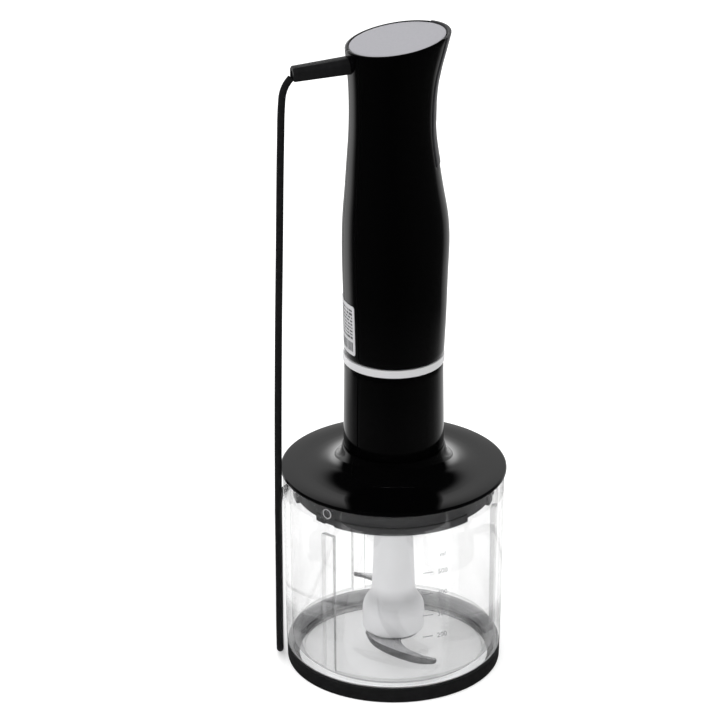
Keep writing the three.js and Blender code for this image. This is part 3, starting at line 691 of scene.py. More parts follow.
def add_tie():
    """A woven strap round the bundle of turns."""
    thick, room, lift = 0.5, 2.4, 0.02
    low, high = COIL.radii[2] - room, COIL.radii[0] + room
    top = COIL.high + room
    left, right = low - thick, high + thick
    under = top - thick
    outer = eased([(left, lift, 1.2), (right, lift, 1.2), (right, top, 2), (left, top, 2)])
    inner = eased([(low, thick, 0.9), (high, thick, 0.9), (high, under, 1.6), (low, under, 1.6)])
    half = TIE.width / 2
    count = len(outer)
    points = [(x, y, z) for y in (-half, half) for ring in (outer, inner) for x, z in ring]
    faces = []
    for i in range(count):
        n = (i + 1) % count
        for p, q in ((0, 1), (1, 3), (3, 2), (2, 0)):
            faces.append((p * count + i, p * count + n, q * count + n, q * count + i))
    strap = bevelled(made_object("coil_tie", points, faces), 0.15)
    shifted(strap, turn(TIE.heading))
    painted(strap, "woven_tie")
    return stand_in(on_store(strap, COIL.away), "cord_tie")


def plug_ring(x, half_width, half_height, corner):
    centre = PLUG.low + PLUG.height / 2
    outline = eased(rectangle(-half_width, -half_height, half_width, half_height, corner), 6)
    return [(x, PLUG.left + y, centre + z) for y, z in outline]


def add_plug():
    """The flat plug with its tapered strain relief, lying on the coil."""
    half_width, half_height, front = PLUG.width / 2, PLUG.height / 2, PLUG.front
    # how far along, the shares of the full width and height, and the corner's rounding
    stations = (
        (front, 0.86, 0.86, 5), (front + 0.8, 0.95, 0.95, 5.5), (front + 2.4, 1.0, 1.0, 6),
        (front + 16, 1.0, 1.0, 6), (front + 22, 0.97, 0.97, 6), (front + 28, 0.82, 0.86, 5.5),
        (front + 33, 0.58, 0.72, 4.6), (PLUG.back, 0.42, 0.66, 4.4),
    )
    rings = [plug_ring(x, half_width * w, half_height * h, c) for x, w, h, c in stations]
    ridge_count, first, last = 5, PLUG.back + 0.6, PLUG.entry - 1.0
    pitch = (last - first) / ridge_count
    for k in range(ridge_count):
        at = first + k * pitch
        wide = 4.4 - 1.5 * k / ridge_count
        ridge = ((0.0, wide - 0.8), (0.3, wide), (pitch - 0.9, wide - 0.2), (pitch - 0.6, wide - 1.1))
        rings += [plug_ring(at + offset, radius, radius, radius * 0.98) for offset, radius in ridge]
    rings.append(plug_ring(PLUG.entry, 2.6, 2.6, 2.5))
    plug = lofted("mains_plug_form", rings)
    return stand_in(on_store(plug), "mains_plug")


def add_plug_pins():
    made = []
    radius, length = PLUG_PIN.radius, PLUG_PIN.length
    sleeve = length * 0.5
    outline = eased([
        (0, 0), (radius, 0), (radius, sleeve), (radius - 0.12, sleeve + 0.05),
        (radius - 0.12, length - 1.6), (radius - 0.7, length, 0.7), (0, length),
    ], closed=False)
    for node, side in (("plug_pin_left", 1), ("plug_pin_right", -1)):
        pin = turned(f"{node}_form", outline, 32)
        painted(pin, "steel", "satin_black")
        for face in pin.data.polygons:
            face.material_index = int(face.center.z < sleeve * MM)
        shifted(pin, turn(-90, "Y"))
        shifted(pin, move(PLUG.front, 0, PLUG.low + PLUG.height / 2))
        on_store(pin, 0, PLUG.left + side * PLUG_PIN.spacing / 2)
        made.append(stand_in(pin, node))
    return made


def guard_ring(y, outset=0.0):
    """The cord guard's section, with chamfered upper edges, at a distance behind the axis."""
    share = (y - GUARD.root) / (GUARD.end - GUARD.root)
    half = GUARD.half_width - GUARD.narrows * share + outset
    low = GUARD.root_z + (GUARD.end_z - GUARD.root_z) * share - outset
    high = low + GUARD.height - GUARD.sinks * share + 2 * outset
    slope = high - (high - low) * GUARD.chamfer
    corners = [
        (-half, low, 0.9), (half, low, 0.9), (half, slope, 0.5), (half * 0.6, high, 0.5),
        (-half * 0.6, high, 0.5), (-half, slope, 0.5),
    ]
    return [(x, y, z) for x, z in eased(corners, 3)]


def add_guard():
    end = GUARD.end
    rings = [guard_ring(GUARD.root + k * 3) for k in range(11)]
    rings += [guard_ring(end - 0.9), guard_ring(end - 0.35, -0.12), guard_ring(end, -0.5)]
    guard = lofted("cord_guard_form", rings)
    y, z = CORD_HANGING[0]
    mouth = cylinder("mouth", CORD_RADIUS + GAP, -8, 3, 32)
    shifted(mouth, move(0, y, z) @ turn(EXIT_TILT, "X"))
    combined(guard, mouth)
    top = guard_ring(41.6)[0][2] + 7.0
    recess = eased(rectangle(-1.6, 39.4, 1.6, 44, 1))
    combined(guard, raised("recess", recess, top - 0.9, top + 3))
    painted(guard, "satin_black")
    return stand_in(guard, "cord_guard", angle=32)


# ---- Base ring and bowl ----


def add_base_ring():
    outline = eased([
        (BASE.inner, 0.0, 0.5), (BASE.foot, 0.0, 1.0), (BASE.radius, 6.6, 3),
        (BASE.radius, BASE.height, 0.6), (BASE.lip, BASE.height, 0.5),
        (BASE.lip, BASE.floor, 0.4), (BASE.inner, BASE.floor, 0.4),
    ])
    stand_in(turned("base_ring_form", outline), "base_ring")


def rib_columns():
    """Angles round the bowl, with close pairs of them at the ribs' edges."""
    half = math.degrees(math.asin(RIB.width / 2 / BOWL.inner))
    flank = 0.16
    edges = []
    for k in range(RIB.count):
        centre = (RIB.first + k * 360 / RIB.count) % 360
        edges += [centre + side * (half + away) for side in (-1, 1) for away in (-flank, flank)]
    edges = [edge % 360 for edge in edges]
    plain = [k * 2.5 for k in range(144)]
    clear = [a for a in plain if all(abs((a - edge + 180) % 360 - 180) > 0.8 for edge in edges)]
    return sorted(clear + edges), half


def wall_at(z):
    """The inner radius of the bowl's wall, which widens towards the rim."""
    share = (z - BOWL.wall) / (BOWL_RIM.height - BOWL.wall)
    return BOWL.inner + (BOWL_RIM.inner - BOWL.inner) * share


def at_pin(piece, k):
    """Moves a piece drawn at the origin to a bayonet pin, with its length inwards."""
    place = move(LUG.reach + LUG.length, 0, LUG.height) @ turn(-90, "Y")
    return shifted(piece, turn(RIB.first + k * 360 / RIB.count) @ place)


# The bowl's corner between wall and floor, and the two arcs where it starts and ends, which get
# painted reflection lines.
CORNER = Sizes(reach=(46, 52.3), z=(7.3, 12.7))
ARCS = (Sizes(reach=(47.2, 48.5), z=(7.0, 8.9)), Sizes(reach=(51.5, 52.4), z=(11.3, 12.9)))
FOOT_TOP, FOOT_REACH = 9.3, 51.8


def bowl_finish(centre, normal):
    """Which finish a face of the bowl has: 0 clear, 1 grey foot band, 2 painted edge reflections, 3
    corner.
    """
    reach = math.hypot(centre.x, centre.y)
    outwards = (centre.x * normal.x + centre.y * normal.y) / max(reach, 1)
    across = math.hypot(normal.x, normal.y) > 0.7 and abs(outwards) < 0.5
    on_rib = RIB.reach - 0.1 < reach < BOWL_RIM.inner and centre.z < RIB.high + 0.3
    top_of_rib = normal.z > 0.6 and centre.z > RIB.high - 1

    def within(zone):
        return zone.reach[0] < reach < zone.reach[1] and zone.z[0] < centre.z < zone.z[1]

    if centre.z < FOOT_TOP and reach > FOOT_REACH and outwards > 0:
        return 1
    if (on_rib and (across or top_of_rib)) or any(within(arc) for arc in ARCS):
        return 2
    return 3 if within(CORNER) else 0


def add_bowl():
    columns, half = rib_columns()
    inside = BOWL.inner
    outline = eased([
        (0, BOWL.under), (45.5, BOWL.under, 1), (46.5, BASE.floor + GAP, 0.8),
        (BASE.lip - GAP, BASE.floor + GAP, 0.6), (BASE.lip - GAP, BASE.height + GAP, 1),
        (BOWL.radius, BOWL.foot, 1.6), (BOWL_RIM.radius, BOWL_RIM.height, 0.9),
        (BOWL_RIM.inner, BOWL_RIM.height, 0.7), (wall_at(RIB.high + 0.2), RIB.high + 0.2),
        (wall_at(RIB.high - 0.2), RIB.high - 0.2), (wall_at(60), 60), (wall_at(35), 35),
        (inside, BOWL.wall, 1.2), (50.6, 10, 1.5), (48.2, 8.8, 0.8), (47.4, BOWL.floor, 0.8),
        (PIN_SEAT.boss, BOWL.floor, 0.8), (PIN_SEAT.boss, PIN_SEAT.top, 0.6),
        (PIN_SEAT.bore, PIN_SEAT.top, 0.3), (PIN_SEAT.bore, PIN_SEAT.low),
        (0, PIN_SEAT.low),
    ], closed=False)

    def ribbed(radius, z, degrees):
        on_wall = 40 < radius <= wall_at(z) + 0.01 and RIB.low < z < RIB.high
        if not on_wall:
            return radius
        step = 360 / RIB.count
        away = abs((degrees - RIB.first + step / 2) % step - step / 2)
        return min(radius, RIB.reach) if away < half else radius

    bowl = turned("bowl_form", outline, angles=columns, moved=ribbed)
    radius, length = LUG.radius, LUG.length
    outline = eased([(0, -1.4), (radius, -1.4), (radius, length, 0.35), (0, length)], closed=False)
    for k in range(RIB.count):
        combined(bowl, at_pin(turned("lug", outline, 32), k), "UNION")
    # the foot's grey band and the edges' grey lines are painted reflections
    painted(bowl, "clear_plastic", "foot_reflection_band", "edge_reflection_lines", "clear_corner")
    for face in bowl.data.polygons:
        face.material_index = bowl_finish(face.center / MM, face.normal)
    stand_in(bowl, "bowl", angle=30)


def add_pin_outlines():
    """Painted highlights: bright rings at the round edges of the bayonet pins, as seen through the
    wall.
    """
    outline = rectangle(LUG.radius + 0.02, 0.3, LUG.radius + 0.45, 0.6)
    rings = [at_pin(turned("pin_outline", outline, 40), k) for k in range(RIB.count)]
    detail(joined("pin_outlines", rings), "bowl", "clear_plastic", "pin_edge_highlight")


def wrapped(piece, radius, degrees, widening=0.0):
    """Bends a flat piece, drawn in x and y and thick in z, round a wall that widens upwards."""
    for vertex in piece.data.vertices:
        x, y, z = (value / MM for value in vertex.co)
        angle = math.radians(degrees) + x / radius
        reach = radius + widening * y + z
        vertex.co = Vector((reach * math.cos(angle), reach * math.sin(angle), y)) * MM
    return piece


def written(text, size, thickness):
    """Raised figures as a mesh, with their lower left corner at the origin."""
    data = bpy.data.curves.new("figures", "FONT")
    data.body = text
    data.size = size * MM
    data.extrude = thickness * MM / 2
    data.resolution_u = 3
    curve = placed("figures", data)
    bpy.context.view_layer.update()
    mesh = bpy.data.meshes.new_from_object(curve.evaluated_get(bpy.context.evaluated_depsgraph_get()))
    bpy.data.objects.remove(curve)
    return placed("figures", mesh)


def joined(name, pieces):
    """One object from several, their meshes kept as they are."""
    build = bmesh.new()
    for piece in pieces:
        build.from_mesh(piece.data)
        bpy.data.objects.remove(piece)
    data = bpy.data.meshes.new(name)
    build.to_mesh(data)
    build.free()
    return placed(name, data)


def add_marks():
    """Moulded millilitre figures and a tick for each, on the outside of the wall."""
    thickness, sunk = 0.3, 0.05
    widening = (BOWL_RIM.radius - BOWL.radius) / (BOWL_RIM.height - BOWL.foot)
    foot = BOWL.radius - BOWL.foot * widening
    marks = []
    for k, value in enumerate(MARKS.values):
        height = MARKS.low + k * MARKS.step
        figures = written(str(value), 3.6, thickness)
        shifted(figures, move(0, height - 1.4, thickness / 2 - sunk))
        marks.append(wrapped(figures, foot, MARKS.text, widening))
        line = block("tick", (0, height - 0.2, -sunk), (5.2, height + 0.2, thickness - 0.1))
        marks.append(wrapped(line, foot, MARKS.tick, widening))
    top = MARKS.low + len(MARKS.values) * MARKS.step
    unit = shifted(written("ml", 3.2, thickness), move(0, top - 4, thickness / 2 - sunk))
    marks.append(wrapped(unit, foot, MARKS.text + 1, widening))
    detail(joined("bowl_graduations", marks), "bowl", "clear_plastic", "clear_marks")


# ---- Blade unit ----


def add_hub():
    bell = [
        (15.85, 17.4), (15.9, 22), (15.8, 27.4), (15.1, 30.4), (13.4, 33.2), (12.1, 35.2), (11.3, 38),
    ]
    neck = [(10.95, 43), (10.35, 58), (9.8, 74), (9.3, 88)]
    bore, low, high = HUB.bore, HUB.low, HUB.high
    outline = [(0, HUB.bore_top), (bore, HUB.bore_top), (bore, low), (14.6, low), (15.4, 16.1)]
    outline += smooth_line(bell + neck, 48) + [(9.2, high - 0.5), (8.8, high), (0, high)]
    hub = turned("blade_hub_form", outline, 96)
    for share in (0.0, 0.33, 0.67, 1.0):
        key_slot = block("slot", (-4.3, -1.8, 84.2), (4.3, 1.8, 96))
        combined(hub, shifted(key_slot, turn(-24 * share)))
    stand_in(hub, "blade_hub", angle=32)


def blade_sections(count=40):
    """The sharp edge, the line where its grinding starts and the back edge, from root to tip."""
    edge = [(-1.5, 15.4), (-14.3, 15.4), (-24.4, 11.7), (-35.5, 4), (-42.2, -4.7), (-43.1, -8.9)]
    ground = [(-1.5, 14.9), (-12, 14.3), (-20.8, 9.9), (-30.5, 2.6), (-38.2, -5.0), (-41.9, -10.2)]
    back = [(-8, -6), (-14.5, 0.1), (-22.2, 0.8), (-31.4, -3.1), (-37.4, -8), (-39.9, -11)]
    return [smooth_line(line, count) for line in (edge, ground, back)]


def blade_solid(name):
    thick, sharp = BLADE.thickness, 0.25
    rings = []
    for (ex, ey), (gx, gy), (bx, by) in zip(*blade_sections()):
        round_x, round_y = bx + (gx - bx) * 0.04, by + (gy - by) * 0.04
        rings.append(
            [
                (ex, ey, 0), (ex, ey, sharp), (gx, gy, thick), (round_x, round_y, thick),
                (bx, by, thick - 0.25), (bx, by, 0.2), (round_x, round_y, 0),
            ]
        )
    point_x, point_y = -42.6, -10.6
    tip = [((x + point_x) / 2, (y + point_y) / 2 - 0.35, z * 0.8 + 0.1) for x, y, z in rings[-1]]
    return lofted(name, [*rings, tip])


def ground_faces(blade):
    """Gives the slanting ground faces a far darker copy of the blade steel: painted shade."""
    painted(blade, "blade_steel", "shaded_ground_edge")
    for face in blade.data.polygons:
        face.material_index = int(0.1 < face.normal.z < 0.985)


def add_blades():
    lower = blade_solid("lower_blade_form")
    combined(lower, cylinder("root", BLADE.root, 0, BLADE.thickness, 64), "UNION")
    combined(lower, cylinder("eye", BLADE.eye, -2, 4, 48))
    shifted(lower, move(0, 0, BLADE.low))
    ground_faces(lower)
    stand_in(lower, "lower_blade", angle=20)

    upper = blade_solid("upper_blade_form")
    shifted(upper, Matrix.Diagonal((BLADE.share, BLADE.share, 1, 1)))
    combined(upper, cylinder("core", 9, -5, 5, 48))
    shifted(upper, move(0, 0, BLADE.high) @ turn(180))
    stand_in(upper, "upper_blade", angle=20)


# ---- Lid ----


def add_lid_cover():
    tube_out, tube_low = 23.2, SKIRT.plate[1] + 0.6
    flare = [
        (44, LID.top), (39.5, 108.3), (35.2, 109), (31.7, 110.2), (29.1, 112.2), (27.3, 115.2),
        (26.2, 119.4),
    ]
    outer = [(LID.radius, LID.under, 0.4), (LID.radius, LID.top, 0.8), (48, LID.top)]
    outer += smooth_line(flare, 28)
    outer += [(LID.neck, LID.neck_top, 0.4), (LID.socket, LID.neck_top, 0.4)]
    inner = [(LID.socket, tube_low, 0.3), (tube_out, tube_low, 0.3), (tube_out, 115.6, 0.5)]
    inner += [(24.4, 112.6), (27.1, 108.7), (31, 106.9), (36, LID.under, 1)]
    stand_in(turned("lid_cover_form", eased(inner + outer), 160), "lid_cover", angle=45)


def flange_segment(start, stop, reach):
    """A deeper stretch of the skirt, out to a radius."""
    low, high, inner = BAYONET.low, BAYONET.high, SKIRT.inner
    section = eased([(inner, low, 0.4), (reach, low, 0.5), (reach, high, 0.5), (inner, high, 0.3)], 3)
    count = max(4, round((stop - start) / 2))
    rings = []
    for k in range(count + 1):
        angle = math.radians(start + (stop - start) * k / count)
        rings.append([(r * math.cos(angle), r * math.sin(angle), z) for r, z in section])
    return lofted("segment", rings)


def add_base_plate():
    bore, boss, low = 6.3, 9.5, 95.9
    inner, outer = SKIRT.inner, SKIRT.outer
    under, over = SKIRT.plate
    outline = eased([
        (bore, low, 0.3), (boss, low, 0.5), (boss, under, 0.8), (inner, under, 0.8),
        (inner, SKIRT.low, 0.4), (outer, SKIRT.low, 0.5), (outer, SKIRT.top, 0.3),
        (inner, SKIRT.top, 0.3), (inner, over, 0.3), (bore, over, 0.3),
    ])
    plate = turned("lid_base_plate_form", outline, 144)
    half = BAYONET.notch / 2
    for k in range(RIB.count):
        start, notch = (first + k * 360 / RIB.count for first in (BAYONET.start, RIB.first))
        stretches = (
            (start, notch - half, BAYONET.reach),
            (notch - half - 1, notch + half + 1, outer),
            (notch + half, start + BAYONET.span, BAYONET.reach),
        )
        for stretch in stretches:
            combined(plate, flange_segment(*stretch), "UNION")
    # painted light: the plate gets the lighter black because its skirt sits in shadow
    painted(plate, "lightened_plate_black")
    stand_in(plate, "lid_base_plate", angle=35)


def add_lid_seal():
    inner, outer = SKIRT.outer + GAP, BOWL_RIM.inner - 0.4
    outline = eased([
        (inner, 103.2, 0.3), (outer - 0.5, 103.2, 0.3), (outer, 103.8, 0.3), (outer - 0.4, 104.5, 0.3),
        (outer, 105.2, 0.3), (outer - 0.4, 105.9, 0.3), (inner, 105.9, 0.3),
    ], 3)
    stand_in(turned("lid_seal_form", outline, 128), "lid_seal")


# ---- Motor unit ----

HANDLE = spline([row[0] for row in HANDLE_STATIONS], [row[1:] for row in HANDLE_STATIONS])
HANDLE_LOW = HANDLE_STATIONS[0][0]
LEVEL_ROWS = 39


def handle_section(z):
    """Half depth, half width and middle of the handle at a height."""
    back, front = HANDLE(z)
    depth = (back + front) / 2
    slim = SLIMMING.share * eased_share((z - SLIMMING.start) / (SLIMMING.stop - SLIMMING.start))
    return depth, depth * (1 - slim), (back - front) / 2


def handle_point(degrees, z, outset=0.0):
    depth, side, middle = handle_section(z)
    angle = math.radians(degrees)
    return ((side + outset) * math.cos(angle), middle + (depth + outset) * math.sin(angle), z)


def plane_height(y):
    return TOP.height - TOP.slope * (y - TOP.at)


def top_height(degrees):
    z = TOP.height
    for _ in range(6):
        z = plane_height(handle_point(degrees, z)[1])
    return z


def front_of_handle(x, z, outset=0.0):
    depth, side, middle = handle_section(z)
    share = min(abs(x) / (side + outset), 1)
    return middle - (depth + outset) * math.sqrt(1 - share * share)


def handle_rows(degrees):
    """Heights up the handle at an angle: level rows, then rows that tilt towards the top's slope."""
    top = top_height(degrees)
    low = list(np.linspace(HANDLE_LOW, PANEL.low, LEVEL_ROWS + 1))
    high = [PANEL.low + (top - CAP.ledge - 0.25 - PANEL.low) * k / 26 for k in range(1, 27)]
    rim = [top - drop for drop, _ in RIM_ROUND]
    return low + high + [top - CAP.ledge, *rim]


def add_housing(node, start, stop, edge):
    """One half of the handle's shell, open behind the front panel."""
    seam = math.degrees(0.06 / 24)
    before, after = (14, 48) if edge < start + 90 else (48, 14)
    angles = [*np.linspace(start + seam, edge, before), *np.linspace(edge, stop - seam, after)[1:]]
    outer, inner = [], []
    for a in angles:
        column = handle_rows(a)
        plain = [0.0] * (len(column) - len(RIM_ROUND))
        outsets = plain + [-inset for _, inset in RIM_ROUND]
        outer.append([handle_point(a, z, outset) for z, outset in zip(column, outsets)])
        insets = [WALL] * (len(plain) - 1) + [CAP.rim] * (len(RIM_ROUND) + 1)
        inner.append([handle_point(a, z, -inset) for z, inset in zip(column, insets)])

    def keep(i, j):
        away = abs((angles[i] + angles[i + 1]) / 2 - 270)
        return not (away < PANEL.half_angle and j >= LEVEL_ROWS)

    shell = walled(f"{node}_form", outer, inner, keep)
    bevelled(shell, 0.22, 2, 50)
    hole = lofted("hole", [guard_ring(GUARD.root + 2, 0.15), guard_ring(32, 0.15)])
    combined(shell, hole)
    if node == "housing_right":
        for y, z, head in SCREWS.values():
            well = cylinder("well", SCREW.head + GAP, head - 2.1, 30, 40)
            cup = cylinder("cup", SCREW.head + 1.2, 4, head + 1, 40)
            place = move(0, y, z) @ turn(90, "Y")
            combined(shell, shifted(cup, place), "UNION")
            combined(shell, shifted(well, place))
    stand_in(shell, node, angle=38)


def add_panel():
    gap = 0.9
    start, stop = 270 - PANEL.half_angle + gap, 270 + PANEL.half_angle - gap
    angles = list(np.linspace(start, stop, 44))
    outer, inner = [], []
    for degrees in angles:
        top = top_height(degrees)
        heights = [PANEL.low + GAP + (top - PANEL.low - GAP) * k / 60 for k in range(61)]
        outer.append([handle_point(degrees, z, PANEL.proud) for z in heights])
        inner.append([handle_point(degrees, z, -PANEL.inset) for z in heights])
    panel = bevelled(walled("front_panel_form", outer, inner), 0.4, 3, 50)
    for height in BUTTONS.values():
        hole = cylinder("hole", BUTTON.radius + 0.25, 10, 40, 72)
        combined(panel, shifted(hole, move(0, 0, height) @ turn(90, "X")))
    stand_in(panel, "front_panel", angle=35)


def add_button(node, height):
    """A slightly dished round button whose face follows the handle, with its flange and stem."""
    sides, stem, end = 64, BUTTON.stem, BUTTON.stem_end
    radius, flange, flange_z = BUTTON.radius, BUTTON.flange, (-17.6, -16.6)
    # each ring's radius, and how far it is sunk below the handle's face, or its y
    face = [(0, 0.55), (2, 0.5), (4, 0.32), (5.4, 0.1), (6.2, 0.0), (6.6, 0.12), (6.85, 0.45)]
    face.append((radius, 0.9))
    back = [(radius, flange_z[0]), (flange, flange_z[0]), (flange, flange_z[1])]
    back += [(stem, flange_z[1]), (stem, end), (0, end)]
    turns = [2 * math.pi * k / sides for k in range(sides)]

    def ring(reach, y_at):
        places = [(reach * math.cos(angle), height + reach * math.sin(angle)) for angle in turns]
        return [(x, y_at(x, z), z) for x, z in places]

    rings = [ring(r, lambda x, z, s=s: front_of_handle(x, z, BUTTON.proud) + s) for r, s in face]
    rings += [ring(r, lambda x, z, y=y: y) for r, y in back]
    stand_in(lofted(f"{node}_form", rings, ends=False), node, angle=30)


def add_button_pips():
    """Raised pips for the thumb: one bar on the power button, two on the turbo button."""
    for node, offsets in (("power_button", (0.0,)), ("turbo_button", (-1.3, 1.3))):
        bars = []
        for offset in offsets:
            z = BUTTONS[node] + offset
            bar = raised("bar", eased(rectangle(-2.4, -0.35, 2.4, 0.35, 0.35)), 0, 0.5)
            front = front_of_handle(0, z, BUTTON.proud)
            bars.append(shifted(bar, move(0, front + 0.65, z) @ turn(90, "X")))
        pips = bevelled(joined(f"{node}_pips", bars), 0.12)
        detail(pips, node, SLOT_OF[node])


def add_cap():
    """The grey insert in the handle's top, on the tilted plane."""
    sides, edge, below = 128, 0.35, -CAP.thickness
    # each ring's share of the full size, and its height over the insert's face
    profile = [(0.0, 0.0), (0.5, 0.0), (0.9, 0.0), (1.0, 0.0), (1.0, below), (0.0, below)]
    rings = []
    for share, rise in profile:
        ring = []
        for k in range(sides):
            degrees = k * 360 / sides
            x, y, _ = handle_point(degrees, top_height(degrees), -CAP.inset)
            x, y = x * share, (y - TOP.at) * share + TOP.at
            ring.append((x, y, plane_height(y) - CAP.below + rise))
        rings.append(ring)
    stand_in(bevelled(lofted("top_cap_form", rings, ends=False), edge, 3), "top_cap")


def label_point(x, z, outset):
    """A place on the label: x across it as seen from behind, wrapped on the handle's back."""
    depth, side, _ = handle_section(z)
    degrees = 90 - math.degrees(x / side)
    return handle_point(degrees, z, outset)


def add_label():
    half, corner = LABEL.width / 2, 0.9
    columns, rows = 28, 32
    outer, inner = [], []
    for i in range(columns + 1):
        x = -half + 2 * half * i / columns
        inset = corner - math.sqrt(max(corner**2 - max(abs(x) - half + corner, 0) ** 2, 0))
        low, high = LABEL.low + inset, LABEL.high - inset
        heights = [low + (high - low) * j / rows for j in range(rows + 1)]
        outer.append([label_point(x, z, 0.3) for z in heights])
        inner.append([label_point(x, z, 0.02) for z in heights])
    stand_in(walled("rating_label_form", outer, inner), "rating_label")


def add_label_print():
    """Rows of short dashes and a block of bars: generic print, with no lettering."""
    draw = Random(7)
    half = LABEL.width / 2 - 1.6
    marks = []
    z = LABEL.high - 2.2
    while z > LABEL.low + 9:
        height = draw.choice((0.7, 0.9, 1.2))
        x = -half
        while x < half - 1:
            width = min(draw.uniform(0.8, 3.2), half - x)
            marks.append((x, x + width, z - height, z))
            x += width + draw.uniform(0.4, 0.9)
        z -= height + 0.9
    for k in range(22):
        x = -half + k * 0.75
        marks.append((x, x + draw.choice((0.25, 0.4, 0.5)), LABEL.low + 2, LABEL.low + 7))
    pieces = []
    for left, right, low, high in marks:
        steps = max(1, round((right - left) / 0.6))
        across = [left + (right - left) * i / steps for i in range(steps + 1)]
        outer = [[label_point(x, z_, 0.33) for z_ in (low, high)] for x in across]
        inner = [[label_point(x, z_, 0.28) for z_ in (low, high)] for x in across]
        pieces.append(walled("dash", outer, inner))
    detail(joined("label_print", pieces), "motor_unit", "label", "label_ink")


def add_sleeve():
    inner, plate_low, plate_high, hole = 22.6, 123.8, 126.4, 9.0
    spigot, spigot_in = SLEEVE.spigot, SLEEVE.spigot - 2.2
    outline = eased([
        (spigot_in, 107, 0.4), (spigot, 107, 0.5), (spigot, SLEEVE.low, 0.3),
        (SLEEVE.bottom, SLEEVE.low, 0.5), (SLEEVE.bottom, 134, 8), (SLEEVE.top, 160, 8),
        (SLEEVE.top, SLEEVE.high, 0.35), (inner, SLEEVE.high, 0.3), (inner, plate_high, 0.6),
        (hole, plate_high, 0.3), (hole, plate_low, 0.3), (spigot_in, plate_low, 0.6),
    ])
    line, width = SLEEVE.line, 0.35
    near = [line - 2 * width, line - width, line + width, line + 2 * width]
    angles = sorted([k * 2.5 for k in range(144) if abs(k * 2.5 - line) > 1.2] + near)

    def lined(radius, z, degrees):
        """A fine moulded line down the outside."""
        outside = radius > SLEEVE.top - 0.01 and SLEEVE.low + 4 < z < SLEEVE.high - 1
        return radius + 0.06 if outside and abs(degrees - line) < 1.5 * width else radius

    sleeve = turned("coupling_sleeve_form", outline, angles=angles, moved=lined)
    stand_in(sleeve, "coupling_sleeve", angle=45)


def add_alignment_mark():
    """A small raised arrow at the foot of the collar, for docking the motor unit."""
    mark = raised("docking_arrow", [(-1.1, 123.6), (1.1, 123.6), (0, 121.9)], -0.05, 0.12)
    detail(wrapped(mark, SLEEVE.bottom, SLEEVE.line), "motor_unit", "gloss_black")


def add_trim_ring():
    outline = eased([
        (TRIM.inner, TRIM.low, 0.2), (TRIM.radius, TRIM.low, 0.35),
        (TRIM.radius, TRIM.high, 0.35), (TRIM.inner, TRIM.high, 0.2),
    ])
    stand_in(turned("trim_ring_form", outline, 160), "trim_ring")


def add_screws():
    for node, (y, z, head) in SCREWS.items():
        outline = eased([
            (0, SCREW.tip), (0.5, SCREW.tip, 0.3), (SCREW.shank, SCREW.tip + 2, 0.6),
            (SCREW.shank, head - 1.8, 0.2), (SCREW.head, head - 1.8, 0.3),
            (SCREW.head - 0.3, head - 0.5, 0.6), (1.6, head, 1.0), (0, head),
        ], closed=False)
        screw = turned(f"{node}_form", outline, 48)
        for quarter in (0, 90):
            arm = block("arm", (-1.9, -0.35, head - 1.1), (1.9, 0.35, head + 1))
            combined(screw, shifted(arm, turn(quarter)))
        shifted(screw, move(0, y, z) @ turn(90, "Y"))
        stand_in(screw, node, angle=30)


# ---- Stage and light ----


def add_floor():
    size = 9000
    floor = raised("floor", rectangle(-size, -size, size, size), -20, 0)
    painted(floor, "floor_white")
    floor.visible_glossy = False


def add_lamp(name, place, aim, size, power):
    data = bpy.data.lights.new(name, "AREA")
    data.shape = "RECTANGLE"
    data.size, data.size_y = size
    data.energy = power
    lamp = placed(name, data)
    lamp.location = place
    lamp.rotation_euler = (Vector(aim) - Vector(place)).to_track_quat("-Z", "Y").to_euler()
    lamp.visible_glossy = False


TOWARDS_CAMERA = Vector((-0.9659, 0.2588, 0.0))
TO_THE_LEFT = Vector((0.2588, 0.9659, 0.0))


def around(degrees):
    """A level direction, counted from the camera's side towards its left."""
    angle = math.radians(degrees)
    return TOWARDS_CAMERA * math.cos(angle) + TO_THE_LEFT * math.sin(angle)


def along(tree, direction, place):
    """How far a place lies in a direction."""
    return new_node(
        tree, "ShaderNodeVectorMath", place, tuple(direction), operation="DOT_PRODUCT", output="Value"
    )


# The wall at the studio's far end, which only reflections see: bright low down, dimmer higher up and
# dark above. Each edge is where it starts and where it ends, in degrees up, or from its middle.
WALL_LIGHT = Sizes(low=1.7, high=0.52, elsewhere=0.006)
WALL_DIMS, WALL_ENDS, WALL_SIDES = (8, 24), (27, 37), (32, 60)


